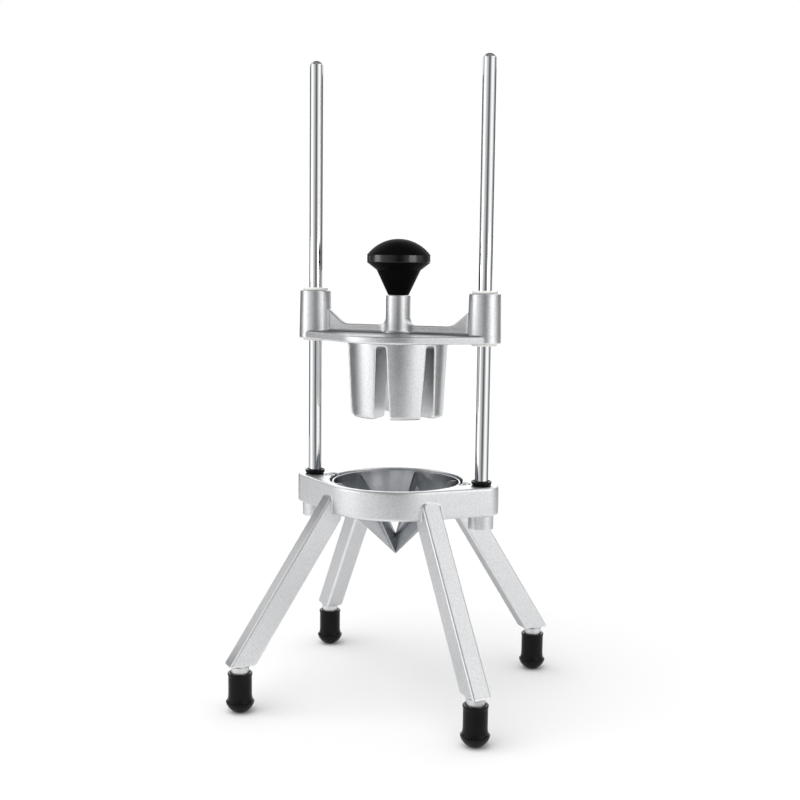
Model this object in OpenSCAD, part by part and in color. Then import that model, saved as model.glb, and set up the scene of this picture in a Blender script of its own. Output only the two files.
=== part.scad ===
// Push-down wedge cutter. A four-legged cast stand carries a ring of slanted blades and two upright rods.
// A pusher with a knob slides down the rods and presses the food through the blades in wedges.
// Millimetres, +Z up. The origin is on the floor below the middle of the blade ring.
// X runs through both rods, and -Y is the front.

/* [Stand] */
// Height of the base's underside above the floor
stand_h = 144.6; // [135:0.1:155]
// Height of the base's wall
base_h = 21.6; // [20.5:0.1:26]
// Wall of the base round its opening
base_wall = 5; // [4.5:0.1:7]
// Radius of the base's tips, round the rods
base_tip_r = 13; // [11.5:0.1:15]
// Height of the lip that the blade ring stands on
lip_h = 2.4; // [1.8:0.1:3]
// How far the lip reaches under the blade ring
lip_bite = 1; // [0.6:0.1:1.2]
// Diameter of the boss under each tip
boss_d = 19; // [17:0.1:22]
// Depth of the boss below the base
boss_h = 11.6; // [10.5:0.1:14]
// Metal between a rod's end and its screw's head
rod_floor = 4; // [3:0.1:4.8]

/* [Legs] */
// Angle of a leg from the line of the rods, seen from above
leg_angle = 43.8; // [42:0.1:47]
// Lean of a leg from upright
leg_lean = 32.7; // [30:0.1:35]
// Width of a leg across its lean
leg_w = 14.4; // [14.1:0.1:16]
// Depth of a leg along its lean, measured level
leg_depth = 20.2; // [19:0.1:22]
// Rounding of a leg's long edges
leg_round = 1.6; // [1:0.1:2.5]
// How far below the base's top a leg's outer face leaves the wall
leg_drop = 8.1; // [6.5:0.1:10]
// Diameter of the round stub at a leg's end
stub_d = 13.3; // [12.5:0.1:13.8]
// Bare length of the stub between the leg and its foot
stub_bare = 5.5; // [3:0.1:8]
// Length of the stub inside its foot
stub_sunk = 20; // [16:0.1:22]

/* [Feet] */
// Height of a foot
foot_h = 30; // [28:0.1:36]
// Rubber round the stub
foot_wall = 2; // [1.6:0.1:2.6]
// How far the foot's bulge stands out from its neck
foot_bulge = 1.75; // [1.2:0.05:2.5]
// Height of the widest part of the bulge
foot_bulge_z = 7.6; // [6:0.1:9]
// Height at which the bulge has run out into the neck
foot_neck_z = 14; // [12:0.1:18]
// Diameter of the flat that a foot stands on
foot_pad_d = 5; // [4:0.1:7]
// How far the foot's rim flares
foot_flare = 0.45; // [0.2:0.05:0.8]

/* [Blades] */
// Outer radius of the blade ring
ring_r = 49.3; // [48.3:0.1:50.5]
// Wall of the blade ring
ring_wall = 1.5; // [1.3:0.1:2]
// Gap between the blade ring and the base's opening
ring_gap = 1.7; // [1.2:0.1:2.2]
// How far the ring's rim lies below the base's top
ring_drop = 1.4; // [1:0.1:2]
// Thickness of a blade
blade_t = 1.2; // [0.8:0.1:1.6]
// Width of a blade, square to its slope
blade_w = 11.6; // [10:0.1:12.5]
// Slope of a blade, from level
blade_slope = 43.5; // [41:0.1:45]
// Height of the ground edge on a blade
blade_grind = 3; // [2:0.1:4]
// Flat left on a blade's cutting edge
blade_edge = 0.2; // [0.1:0.05:0.3]
// How far the blades' meeting point hangs below the base
blade_hang = 36.9; // [35:0.1:39]
// Metal of the ring above a blade's slot
blade_trim = 1.2; // [1:0.1:1.6]
// Width of a ring ear
ear_w = 12; // [10:0.1:14]
// Thickness of a ring ear
ear_t = 1.5; // [1.2:0.1:1.8]
// How far a ring ear reaches out of the ring
ear_reach = 9.2; // [8.6:0.1:9.8]
// How far an ear's top lies below the ring's rim
ear_drop = 1.3; // [1.1:0.1:1.8]

/* [Guide rods] */
// Diameter of a guide rod
rod_d = 10; // [9.4:0.1:10.8]
// Distance between the rods' axes
rod_spacing = 135; // [132:0.1:145]
// Length of a rod
rod_len = 337.7; // [320:0.1:400]
// Height of the rod's domed end
rod_dome = 3.2; // [2:0.1:4]
// Height of the rubber bumper round a rod's foot
bumper_h = 3.2; // [2.6:0.1:5]
// Rubber round the rod at the bumper's bottom
bumper_foot_wall = 1.2; // [1:0.1:2]
// Rubber round the rod at the bumper's top
bumper_rim_wall = 2.6; // [2.2:0.1:3.4]
// Depth of the dish in the bumper's top
bumper_dish = 1.2; // [0.6:0.1:1.8]

/* [Pusher] */
// Height of the raised pusher above the base's top
pusher_lift = 106.1; // [75:0.1:180]
// Thickness of the pusher's plate
plate_t = 5.7; // [5:0.1:8]
// Radius of the plate's round middle
plate_r = 50; // [46:0.1:54]
// Height of a rod tower, from the plate's underside
tower_h = 36.9; // [32:0.1:46]
// Metal round the bushing at a tower's top
tower_wall = 4.7; // [4:0.1:6]
// How much wider a tower is at its bottom, on the radius
tower_draft = 0.75; // [0.4:0.05:1.2]
// Thickness of the rib between the towers
rib_t = 6; // [5:0.1:8]
// Height of the rib above the plate
rib_h = 6.2; // [4.5:0.1:8]
// Length of a rib's gusset, from the tower
gusset_run = 12; // [9:0.1:15]
// Height of a rib's gusset at the tower
gusset_rise = 10.4; // [8:0.1:13]
// Diameter of the stem under the knob
stem_d = 18.6; // [17:0.1:21]
// Height of the stem above the plate
stem_h = 28.9; // [27:0.1:34]
// Radius of the fillet between stem and rib
stem_fillet = 5; // [3:0.1:7]

/* [Bushings] */
// Wall of a bushing's sleeve
bush_wall = 2; // [1.6:0.1:2.4]
// Length of a bushing's sleeve
bush_len = 14; // [10:0.1:15]
// Thickness of a bushing's flange
bush_flange_t = 1.8; // [1.4:0.1:2.4]
// How far the flange stands out from the sleeve
bush_flange_w = 2.45; // [2:0.05:3]

/* [Finger block] */
// Gap between the fingers' tops and the inside of the blade ring
block_gap = 10; // [8:0.1:12]
// How much narrower the fingers are at their ends, on the radius
block_draft = 2.8; // [2:0.1:4]
// Height of the block
block_h = 56.7; // [52:0.1:60]
// Thickness of the disc that joins the fingers
block_roof = 2.5; // [2:0.1:3.5]
// Width of a slot under the disc
slot_top_w = 7.5; // [7:0.1:8.5]
// Width of a slot at the fingers' ends
slot_end_w = 12; // [10.5:0.1:13]
// Rounding in the top of a slot
slot_round = 2.5; // [1.5:0.1:3]

/* [Knob] */
// Diameter of the knob
knob_d = 48; // [44:0.1:54]
// Diameter of the knob where it sits on the stem
knob_foot_d = 15.8; // [14.5:0.1:16.6]
// Diameter at the top of the knob's neck
knob_neck_d = 33; // [30:0.1:36]
// Height of the knob's neck
knob_neck_h = 18.3; // [16.5:0.1:20]
// Height of the slope from the neck out to the band
knob_slope_h = 5.8; // [4:0.1:8]
// Height of the knob's straight band
knob_band_h = 5.3; // [3.5:0.1:7]
// Height of the knob's dome above the band
knob_dome_h = 12.2; // [10.5:0.1:14]

/* [Fasteners] */
// Thread of the screw under each rod
rod_screw_d = 6; // [5:0.1:6.4]
// Diameter of that screw's head
rod_head_d = 10; // [9:0.1:10.4]
// Height of that screw's head
rod_head_h = 6; // [5:0.1:6.4]
// How far that head lies inside its boss
rod_head_recess = 0.5; // [0.3:0.1:1]
// How far that screw reaches into the rod
rod_screw_bite = 14; // [10:0.1:20]
// Thread of the screw that holds the finger block
block_screw_d = 6; // [5:0.1:6.4]
// Diameter of that screw's head
block_head_d = 11; // [9.5:0.1:11.5]
// Height of that screw's head
block_head_h = 4; // [3:0.1:5]
// How far that screw reaches above the block
block_screw_bite = 13; // [10:0.1:14]
// Diameter of a dowel in the finger block
dowel_d = 4; // [3:0.1:5]
// Length of a dowel inside the block
dowel_sunk = 8; // [6:0.1:12]
// Length of a dowel inside the plate
dowel_rise = 3.8; // [3:0.1:4.2]
// Distance of a dowel from the middle
dowel_out = 22; // [18:0.1:25]
// Thread of the screws in the ring's ears
ear_screw_d = 4; // [3:0.1:4.4]
// Diameter of an ear screw's head
ear_head_d = 7; // [6:0.1:7.6]
// Height of an ear screw's head
ear_head_h = 2.2; // [1.6:0.1:2.4]
// Length of an ear screw below its ear
ear_screw_bite = 8; // [6:0.1:10]
// Distance of an ear screw from the ring's outer face
ear_screw_out = 5; // [4.6:0.1:5.2]
// Thread of the stud in the knob
stud_d = 8; // [6:0.1:9]
// Length of the stud in the stem
stud_sunk = 14; // [8:0.1:14]
// Length of the stud in the knob
stud_rise = 15; // [12:0.1:20]

/* [Clearances] */
// Running clearance of a bushing on its rod, on the radius
run_gap = 0.05; // [0.02:0.01:0.09]
// Clearance of a fixed piece in its hole, on the radius
seat_gap = 0.05; // [0.02:0.01:0.1]
// Clearance of a screw in a hole that it passes through, on the radius
screw_gap = 0.3; // [0.2:0.05:0.5]
// Clearance round a ring ear in its pocket
pocket_gap = 0.4; // [0.2:0.05:0.6]

/* [Hidden] */
$fn = 96;

// Cuts run past a face, and joined shapes sink into each other, by this much
over = 1;
// Straight flanks lie this far inside the circles that they join, so that they cross them cleanly
flank_sink = 0.05;
// Chamfer on turned and cast edges
edge_cut = 0.6;
// Steps in a turned outline's round stretch
arc_steps = 10;
// A drilled hole is this much deeper than what goes into it
drill_spare = 1.5;
// How far a blade's end stays inside the ring's outer face
tenon_inset = 0.2;
// Depth of a socket key's hole, as a share of its head's height
key_share = 0.5;
// Width of an ear screw's socket, as a share of its thread
ear_key_share = 0.7;
// Height over which a foot's rim flares
foot_rim_h = 2.4;
// Depth of the lead-in at a foot's mouth
foot_lead = 1.2;

left = -1;
right = 1;
upper = 1;
lower = -1;

// Six blades, one of them straight to the front
blade_count = 6;
blade_step = 360 / blade_count;
front_angle = -90;

// Radii that follow from the blade ring
ring_in_r = ring_r - ring_wall;
opening_r = ring_r + ring_gap;
base_r = opening_r + base_wall;
lip_r = ring_r - lip_bite;
block_top_r = ring_in_r - block_gap;
block_end_r = block_top_r - block_draft;

// Heights of the base and the blade ring
base_top_z = stand_h + base_h;
ring_z = stand_h + lip_h;
ring_top_z = base_top_z - ring_drop;
ear_z = ring_top_z - ear_drop - ear_t;
blade_tip_z = stand_h - blade_hang;
blade_top_z = ring_top_z - blade_trim;

// Places along X of a ring ear's end and screw
ear_end_x = ring_r + ear_reach;
ear_screw_x = ring_r + ear_screw_out;

// Rods, and what goes round them
rod_r = rod_d / 2;
rod_x = rod_spacing / 2;
boss_z = stand_h - boss_h;
rod_head_z = boss_z + rod_head_recess + rod_head_h;
rod_seat_z = rod_head_z + rod_floor;
bush_in_r = rod_r + run_gap;
bush_r = bush_in_r + bush_wall;
bush_flange_r = bush_r + bush_flange_w;
tower_top_r = bush_r + tower_wall;
tower_foot_r = tower_top_r + tower_draft;

// Legs and feet
leg_end_z = foot_h + stub_bare;
leg_out_r = base_r + (base_top_z - leg_drop - leg_end_z) * tan(leg_lean);
stub_at_r = leg_out_r - leg_depth / 2;
stub_r = stub_d / 2;
foot_bore_r = stub_r + seat_gap;
foot_neck_r = foot_bore_r + foot_wall;
foot_bulge_r = foot_neck_r + foot_bulge;
foot_floor_z = foot_h - stub_sunk;

// Heights of the pusher
plate_z = base_top_z + pusher_lift;
plate_top_z = plate_z + plate_t;
rib_top_z = plate_top_z + rib_h;
stem_top_z = plate_top_z + stem_h;
tower_top_z = plate_z + tower_h;
block_end_z = plate_z - block_h;
block_roof_z = plate_z - block_roof;

// Points on an ellipse about a centre, from one angle to another
function arc(centre, half_w, half_h, from, to) = [
    for (i = [0 : arc_steps])
        let (a = from + (to - from) * i / arc_steps)
        centre + [half_w * cos(a), half_h * sin(a)]
];

// Plan of the base and of the pusher's plate: a round middle drawn out to a round tip at each rod
module lens_plan(middle_r, tip_r) {
    swing = acos((middle_r - tip_r) / rod_x);
    flank_r = middle_r - flank_sink;
    corner_r = tip_r - flank_sink;
    middle = flank_r * [cos(swing), sin(swing)];
    tip = [rod_x, 0] + corner_r * [cos(swing), sin(swing)];
    circle(r = middle_r);
    for (side = [left, right])
        translate([side * rod_x, 0]) circle(r = tip_r);
    polygon([
        tip, middle, [-middle.x, middle.y], [-tip.x, tip.y],
        [-tip.x, -tip.y], [-middle.x, -middle.y], [middle.x, -middle.y], [tip.x, -tip.y]
    ]);
}

// Rectangle with round corners, centred
module round_rectangle(w, h, r) {
    square([w - 2 * r, h], center = true);
    square([w, h - 2 * r], center = true);
    for (x = [-1, 1], y = [-1, 1])
        translate([x * (w / 2 - r), y * (h / 2 - r)]) circle(r = r);
}

// Round hole or pin along Z, between two heights
module drill(r, from_z, to_z) {
    translate([0, 0, from_z]) cylinder(r = r, h = to_z - from_z);
}

module at_rods() {
    for (side = [left, right])
        translate([side * rod_x, 0, 0]) children();
}

module at_legs() {
    for (angle = [leg_angle, 180 - leg_angle, 180 + leg_angle, -leg_angle])
        rotate(angle) children();
}

module at_ears() {
    for (angle = [0, 180])
        rotate(angle) children();
}

module at_dowels() {
    for (side = [left, right])
        translate([side * dowel_out, 0, 0]) children();
}

// A leg that leans out along +X, with round long edges and a level lower end, and its foot's stub
module leg() {
    across = leg_depth * cos(leg_lean);
    reach = (base_top_z - leg_end_z) / cos(leg_lean) + leg_depth;
    intersection() {
        translate([stub_at_r, 0, leg_end_z]) rotate([0, -leg_lean, 0]) translate([0, 0, -leg_depth])
            linear_extrude(reach + leg_depth) round_rectangle(across, leg_w, leg_round);
        translate([0, -leg_w, leg_end_z])
            cube([leg_out_r + over, 2 * leg_w, base_top_z - over - leg_end_z]);
    }
    translate([stub_at_r, 0, 0]) drill(stub_r, foot_floor_z + seat_gap, leg_end_z + over);
}

// Plan of a ring ear along +X, with its end rounded, widened by a gap
module ear_plan(gap) {
    half_w = ear_w / 2 + gap;
    end_x = ear_end_x - ear_w / 2;
    translate([end_x, 0]) circle(r = half_w);
    translate([ring_in_r + ring_wall / 2, -half_w]) square([end_x - ring_in_r - ring_wall / 2, 2 * half_w]);
}

module base_frame() {
    color("#c9cbcc") difference() {
        union() {
            translate([0, 0, stand_h]) linear_extrude(base_h) lens_plan(base_r, base_tip_r);
            at_rods() drill(boss_d / 2, boss_z, stand_h + over);
            at_legs() leg();
        }
        drill(opening_r, ring_z, base_top_z + over);
        drill(lip_r, leg_end_z, ring_z + over);
        at_rods() {
            drill(rod_r + seat_gap, rod_seat_z, base_top_z + over);
            drill(rod_screw_d / 2 + screw_gap, rod_head_z - over, rod_seat_z + over);
            drill(rod_head_d / 2 + screw_gap, boss_z - over, rod_head_z);
        }
        at_ears() {
            translate([0, 0, ear_z]) linear_extrude(base_top_z + over - ear_z) ear_plan(pocket_gap);
            translate([ear_screw_x, 0, 0])
                drill(ear_screw_d / 2 + seat_gap, ear_z - ear_screw_bite - drill_spare, ear_z + over);
        }
    }
}

// A strip along a blade's slope, from the ring's axis outwards along +X, cut level at its top.
// Its section is drawn across the strip, with the lower edge at zero.
module sloping_strip(top_z) {
    bar_len = (ring_r + opening_r) / cos(blade_slope);
    intersection() {
        translate([0, 0, blade_tip_z]) rotate([0, -blade_slope, 0]) translate([-blade_w, 0, 0])
            rotate([90, 0, 90]) linear_extrude(bar_len) children();
        translate([-blade_w, -ring_r, blade_tip_z - blade_w])
            cube([2 * ring_r, 2 * ring_r, top_z - blade_tip_z + blade_w]);
    }
}

module blade_ring() {
    color("#b4b7ba") difference() {
        union() {
            drill(ring_r, ring_z, ring_top_z);
            at_ears() translate([0, 0, ear_z]) linear_extrude(ear_t) ear_plan(0);
        }
        drill(ring_in_r, ring_z - over, ring_top_z + over);
        for (i = [0 : blade_count - 1])
            rotate(front_angle + i * blade_step) sloping_strip(blade_top_z + seat_gap)
                translate([-blade_t / 2 - seat_gap, -seat_gap])
                    square([blade_t + 2 * seat_gap, blade_w + 2 * seat_gap]);
        at_ears() translate([ear_screw_x, 0, 0])
            drill(ear_screw_d / 2 + screw_gap, ear_z - over, ear_z + ear_t + over);
    }
}

module blade_ring_screws() {
    ear_top_z = ear_z + ear_t;
    color("#9fa2a5") at_ears() translate([ear_screw_x, 0, 0]) difference() {
        union() {
            drill(ear_screw_d / 2, ear_z - ear_screw_bite, ear_top_z + over);
            drill(ear_head_d / 2, ear_top_z, ear_top_z + ear_head_h);
        }
        // Socket for a key
        translate([0, 0, ear_top_z + ear_head_h * (1 - key_share)])
            cylinder(d = ear_screw_d * ear_key_share, h = ear_head_h, $fn = 6);
    }
}

// One blade of the ring: a sloping strip with its upper edge ground to a V.
// Its inner end is pointed, so that the six meet on the axis, and its outer end sits in a slot of the ring.
module blade(index) {
    end_r = ring_r - tenon_inset;
    half_w = end_r * tan(blade_step / 2);
    shoulder = blade_w - blade_grind;
    color("#a9adb1") rotate(front_angle + index * blade_step) intersection() {
        translate([0, 0, blade_tip_z - blade_w])
            linear_extrude(ring_top_z - blade_tip_z + 2 * blade_w)
                polygon([[0, 0], [end_r, -half_w], [end_r, half_w]]);
        sloping_strip(blade_top_z) polygon([
            [-blade_t / 2, 0], [blade_t / 2, 0], [blade_t / 2, shoulder],
            [blade_edge / 2, blade_w], [-blade_edge / 2, blade_w], [-blade_t / 2, shoulder]
        ]);
    }
}

// A guide rod with a domed top, tapped at its foot
module guide_rod(side) {
    dome_r = (rod_r * rod_r + rod_dome * rod_dome) / (2 * rod_dome);
    color("#dfe2e4") translate([side * rod_x, 0, rod_seat_z]) difference() {
        rotate_extrude() intersection() {
            square([rod_r, rod_len]);
            union() {
                square([rod_r, rod_len - rod_dome]);
                translate([0, rod_len - dome_r]) circle(r = dome_r);
            }
        }
        drill(rod_screw_d / 2 + seat_gap, -over, rod_screw_bite + drill_spare);
    }
}

module rod_screws() {
    color("#8f9294") at_rods() difference() {
        union() {
            drill(rod_screw_d / 2, rod_head_z - over, rod_seat_z + rod_screw_bite);
            drill(rod_head_d / 2, rod_head_z - rod_head_h, rod_head_z);
        }
        // Socket for a key
        translate([0, 0, rod_head_z - rod_head_h * (1 + key_share)])
            cylinder(d = rod_screw_d, h = rod_head_h, $fn = 6);
    }
}

// Rubber cup round a rod, which the pusher lands on
module rod_bumper(side) {
    in_r = rod_r + seat_gap;
    rim_r = in_r + bumper_rim_wall;
    color("#1d1d1e") translate([side * rod_x, 0, base_top_z]) rotate_extrude()
        polygon(concat(
            [[in_r, 0], [in_r + bumper_foot_wall, 0]],
            arc([in_r + bumper_foot_wall, bumper_h - edge_cut], bumper_rim_wall - bumper_foot_wall,
                    bumper_h - edge_cut, -90, 0),
            [[rim_r - edge_cut, bumper_h], [in_r, bumper_h - bumper_dish]]
        ));
}

// Rubber foot: a domed pad under a bulge, drawn in to a neck that is pushed onto the leg's stub
module foot(angle) {
    pad_r = foot_pad_d / 2;
    rim_z = foot_h - edge_cut;
    // The dome is part of a sphere from the flat out to the bulge
    dome_z = (foot_bulge_r * foot_bulge_r + foot_bulge_z * foot_bulge_z - pad_r * pad_r) / (2 * foot_bulge_z);
    dome_r = norm([pad_r, dome_z]);
    flat_angle = asin(pad_r / dome_r);
    bulge_angle = acos((dome_z - foot_bulge_z) / dome_r);
    waist = [foot_bulge_r, foot_neck_z];
    color("#1b1b1c") rotate(angle) translate([stub_at_r, 0, 0]) rotate_extrude()
        polygon(concat(
            [[0, 0]],
            arc([0, dome_z], dome_r, dome_r, flat_angle - 90, bulge_angle - 90),
            arc(waist, foot_bulge, foot_neck_z - foot_bulge_z - edge_cut, 270, 180),
            [
                [foot_neck_r, rim_z - foot_rim_h], [foot_neck_r + foot_flare, rim_z],
                [foot_neck_r, foot_h], [foot_bore_r + edge_cut, foot_h], [foot_bore_r, foot_h - foot_lead],
                [foot_bore_r, foot_floor_z], [0, foot_floor_z]
            ]
        ));
}

// Outline of the rib along X, with a gusset up to each tower and a fillet up to the stem
module rib_outline() {
    foot_x = rod_x - tower_foot_r - gusset_run;
    gusset_x = rod_x - tower_foot_r;
    gusset_top_z = rib_top_z + gusset_rise;
    polygon([
        [-rod_x, plate_z + over], [rod_x, plate_z + over], [rod_x, gusset_top_z], [gusset_x, gusset_top_z],
        [foot_x, rib_top_z], [-foot_x, rib_top_z], [-gusset_x, gusset_top_z], [-rod_x, gusset_top_z]
    ]);
    difference() {
        translate([-stem_d / 2 - stem_fillet, rib_top_z - over])
            square([stem_d + 2 * stem_fillet, stem_fillet + over]);
        for (side = [left, right])
            translate([side * (stem_d / 2 + stem_fillet), rib_top_z + stem_fillet]) circle(r = stem_fillet);
    }
}

module pusher_carriage() {
    color("#cdcfd0") difference() {
        union() {
            translate([0, 0, plate_z]) linear_extrude(plate_t) lens_plan(plate_r, tower_top_r);
            at_rods() translate([0, 0, plate_z]) rotate_extrude() polygon([
                [0, 0], [tower_foot_r, 0], [tower_top_r, tower_h - edge_cut],
                [tower_top_r - edge_cut, tower_h], [0, tower_h]
            ]);
            rotate([90, 0, 0]) translate([0, 0, -rib_t / 2]) linear_extrude(rib_t) rib_outline();
            rotate_extrude() polygon([
                [0, plate_z + over], [stem_d / 2, plate_z + over], [stem_d / 2, stem_top_z - edge_cut],
                [stem_d / 2 - edge_cut, stem_top_z], [0, stem_top_z]
            ]);
        }
        at_rods() drill(bush_r + seat_gap, plate_z - over, tower_top_z + over);
        drill(stud_d / 2 + seat_gap, stem_top_z - stud_sunk - drill_spare, stem_top_z + over);
        drill(block_screw_d / 2 + seat_gap, plate_z - over, plate_z + block_screw_bite + drill_spare);
        at_dowels() drill(dowel_d / 2 + seat_gap, plate_z - over, plate_z + dowel_rise);
    }
}

// Flanged plastic bushing in the upper or lower mouth of a tower
module bushing(side, end) {
    seat_z = end == upper ? tower_top_z : plate_z;
    color("#f1f1ee") translate([side * rod_x, 0, seat_z]) mirror([0, 0, end == upper ? 0 : 1])
        rotate_extrude() polygon([
            [bush_in_r, -bush_len], [bush_r, -bush_len], [bush_r, 0], [bush_flange_r, 0],
            [bush_flange_r, bush_flange_t - edge_cut], [bush_flange_r - edge_cut, bush_flange_t],
            [bush_in_r, bush_flange_t]
        ]);
}

// Section of a slot between two fingers, wider at the fingers' ends and with a round-cornered top
module slot_section() {
    round_z = block_roof_z - slot_round;
    flare = (slot_end_w - slot_top_w) / 2 / (round_z - block_end_z);
    low_half_w = slot_end_w / 2 + flare * over;
    half_w = slot_top_w / 2;
    polygon([
        [-low_half_w, block_end_z - over], [low_half_w, block_end_z - over],
        [half_w, round_z], [-half_w, round_z]
    ]);
    intersection() {
        translate([0, block_roof_z - slot_top_w / 2]) round_rectangle(slot_top_w, slot_top_w, slot_round);
        translate([-half_w, round_z - over]) square([slot_top_w, slot_round + 2 * over]);
    }
}

// Six tapered fingers under one disc, which push the food between the blades
module finger_block() {
    color("#c6c8c9") difference() {
        translate([0, 0, block_end_z]) cylinder(r1 = block_end_r, r2 = block_top_r, h = block_h);
        for (i = [0 : blade_count / 2 - 1])
            rotate(i * blade_step) rotate([90, 0, 0]) translate([0, 0, -2 * block_top_r])
                linear_extrude(4 * block_top_r) slot_section();
        drill(block_screw_d / 2 + screw_gap, block_roof_z - over, plate_z + over);
        // Flat seat for the screw's head, through the rounding of the slots' tops
        drill(block_head_d / 2 + screw_gap, block_roof_z - block_head_h - over, block_roof_z);
        at_dowels() drill(dowel_d / 2 + seat_gap, plate_z - dowel_sunk, plate_z + over);
    }
}

module finger_block_screw() {
    color("#8f9294") difference() {
        union() {
            drill(block_screw_d / 2, block_roof_z - over, plate_z + block_screw_bite);
            drill(block_head_d / 2, block_roof_z - block_head_h, block_roof_z);
        }
        // Socket for a key
        translate([0, 0, block_roof_z - block_head_h * (1 + key_share)])
            cylinder(d = block_screw_d, h = block_head_h, $fn = 6);
    }
}

module finger_block_dowels() {
    color("#8f9294") at_dowels() drill(dowel_d / 2, plate_z - dowel_sunk, plate_z + dowel_rise);
}

// Mushroom knob: a neck that widens upwards, a straight band for the palm and a low dome
module knob() {
    knob_r = knob_d / 2;
    slope_z = knob_neck_h + knob_slope_h;
    dome_z = slope_z + knob_band_h;
    dome_r = (knob_r * knob_r + knob_dome_h * knob_dome_h) / (2 * knob_dome_h);
    dome_angle = asin(knob_r / dome_r);
    color("#161617") translate([0, 0, stem_top_z]) difference() {
        rotate_extrude() polygon(concat(
            [[0, 0], [knob_foot_d / 2, 0], [knob_neck_d / 2, knob_neck_h], [knob_r, slope_z]],
            arc([0, dome_z + knob_dome_h - dome_r], dome_r, dome_r, 90 - dome_angle, 90)
        ));
        drill(stud_d / 2 + seat_gap, -over, stud_rise + drill_spare);
    }
}

module knob_stud() {
    color("#8f9294") drill(stud_d / 2, stem_top_z - stud_sunk, stem_top_z + stud_rise);
}

base_frame();
blade_ring();
blade_ring_screws();
blade(0);  // blade_front
blade(1);  // blade_front_right
blade(2);  // blade_back_right
blade(3);  // blade_back
blade(4);  // blade_back_left
blade(5);  // blade_front_left
guide_rod(left);  // guide_rod_left
guide_rod(right);  // guide_rod_right
rod_screws();
rod_bumper(left);  // rod_bumper_left
rod_bumper(right);  // rod_bumper_right
foot(180 + leg_angle);  // foot_front_left
foot(-leg_angle);  // foot_front_right
foot(180 - leg_angle);  // foot_back_left
foot(leg_angle);  // foot_back_right
pusher_carriage();
finger_block();
finger_block_screw();
finger_block_dowels();
bushing(left, upper);  // bushing_upper_left
bushing(right, upper);  // bushing_upper_right
bushing(left, lower);  // bushing_lower_left
bushing(right, lower);  // bushing_lower_right
knob();
knob_stud();
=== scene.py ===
"""Looks of a push-down wedge cutter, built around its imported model.

Lengths are written in millimetres and turned to metres where a mesh is made. +Z is up, X runs through both
guide rods and -Y is the front. Castings, turned pieces, sheet steel and fasteners are modelled one by one.
"""

from __future__ import annotations

import logging
import math
from dataclasses import dataclass
from enum import Enum
from typing import Sequence

import bpy
from mathutils import Matrix, Vector

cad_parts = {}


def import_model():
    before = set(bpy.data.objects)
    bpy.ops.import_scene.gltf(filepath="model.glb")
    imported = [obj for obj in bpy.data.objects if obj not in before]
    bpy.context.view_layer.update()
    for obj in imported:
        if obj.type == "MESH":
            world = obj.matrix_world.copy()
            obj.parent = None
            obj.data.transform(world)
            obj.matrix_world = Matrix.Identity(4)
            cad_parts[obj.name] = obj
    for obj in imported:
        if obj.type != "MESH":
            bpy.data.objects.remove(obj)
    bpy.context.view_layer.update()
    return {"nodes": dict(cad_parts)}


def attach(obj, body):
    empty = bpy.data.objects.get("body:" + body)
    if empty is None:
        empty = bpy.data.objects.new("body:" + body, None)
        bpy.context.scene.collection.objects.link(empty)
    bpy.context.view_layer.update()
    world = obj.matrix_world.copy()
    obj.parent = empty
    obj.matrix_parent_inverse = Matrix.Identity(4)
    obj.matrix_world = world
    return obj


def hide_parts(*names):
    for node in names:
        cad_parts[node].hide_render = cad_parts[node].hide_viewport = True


LOG = logging.getLogger("wedge_cutter")
MM = 0.001
FULL_TURN = 2.0 * math.pi
# How far one solid reaches into or past another before they are combined, in millimetres
OVER = 1.0
# Vertices nearer than this are one, in metres
WELD = 1e-6
# Distance of a guide rod from the middle, in millimetres
ROD_X = 67.5
# Direction of the legs from X, in degrees
LEG_ANGLE = 43.8
UP = Vector((0.0, 0.0, 1.0))

Point2 = tuple[float, float]
# Two coordinates and the radius of the corner there
Corner = tuple[float, float, float]
Colour = tuple[float, float, float, float]


class Body(Enum):
    """Rigid bodies of the cutter."""

    STAND = "stand"
    PUSHER = "pusher"


class Slot(Enum):
    """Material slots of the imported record."""

    CAST = "cast_aluminium"
    BLADE = "blade_steel"
    CHROME = "rod_chrome"
    RUBBER = "black_rubber"
    NYLON = "white_nylon"
    KNOB = "knob_phenolic"
    FASTENER = "fastener_steel"


class Side(Enum):
    """Left or right guide rod, as a factor on X."""

    LEFT = -1.0
    RIGHT = 1.0


class Join(Enum):
    """Ways to combine two solids."""

    UNION = "UNION"
    DIFFERENCE = "DIFFERENCE"
    INTERSECT = "INTERSECT"


# Outlines


def arc(centre: Point2, half_w: float, half_h: float, start: float, end: float, steps: int) -> list[Point2]:
    """Points on an ellipse.

    Args:
        centre: Middle of the ellipse.
        half_w: Half its width.
        half_h: Half its height.
        start: First angle in degrees.
        end: Last angle in degrees.
        steps: Number of stretches between the first and the last point.

    Returns:
        The points from start to end.
    """
    points = []
    for i in range(steps + 1):
        angle = math.radians(start + (end - start) * i / steps)
        points.append((centre[0] + half_w * math.cos(angle), centre[1] + half_h * math.sin(angle)))
    return points


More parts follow.
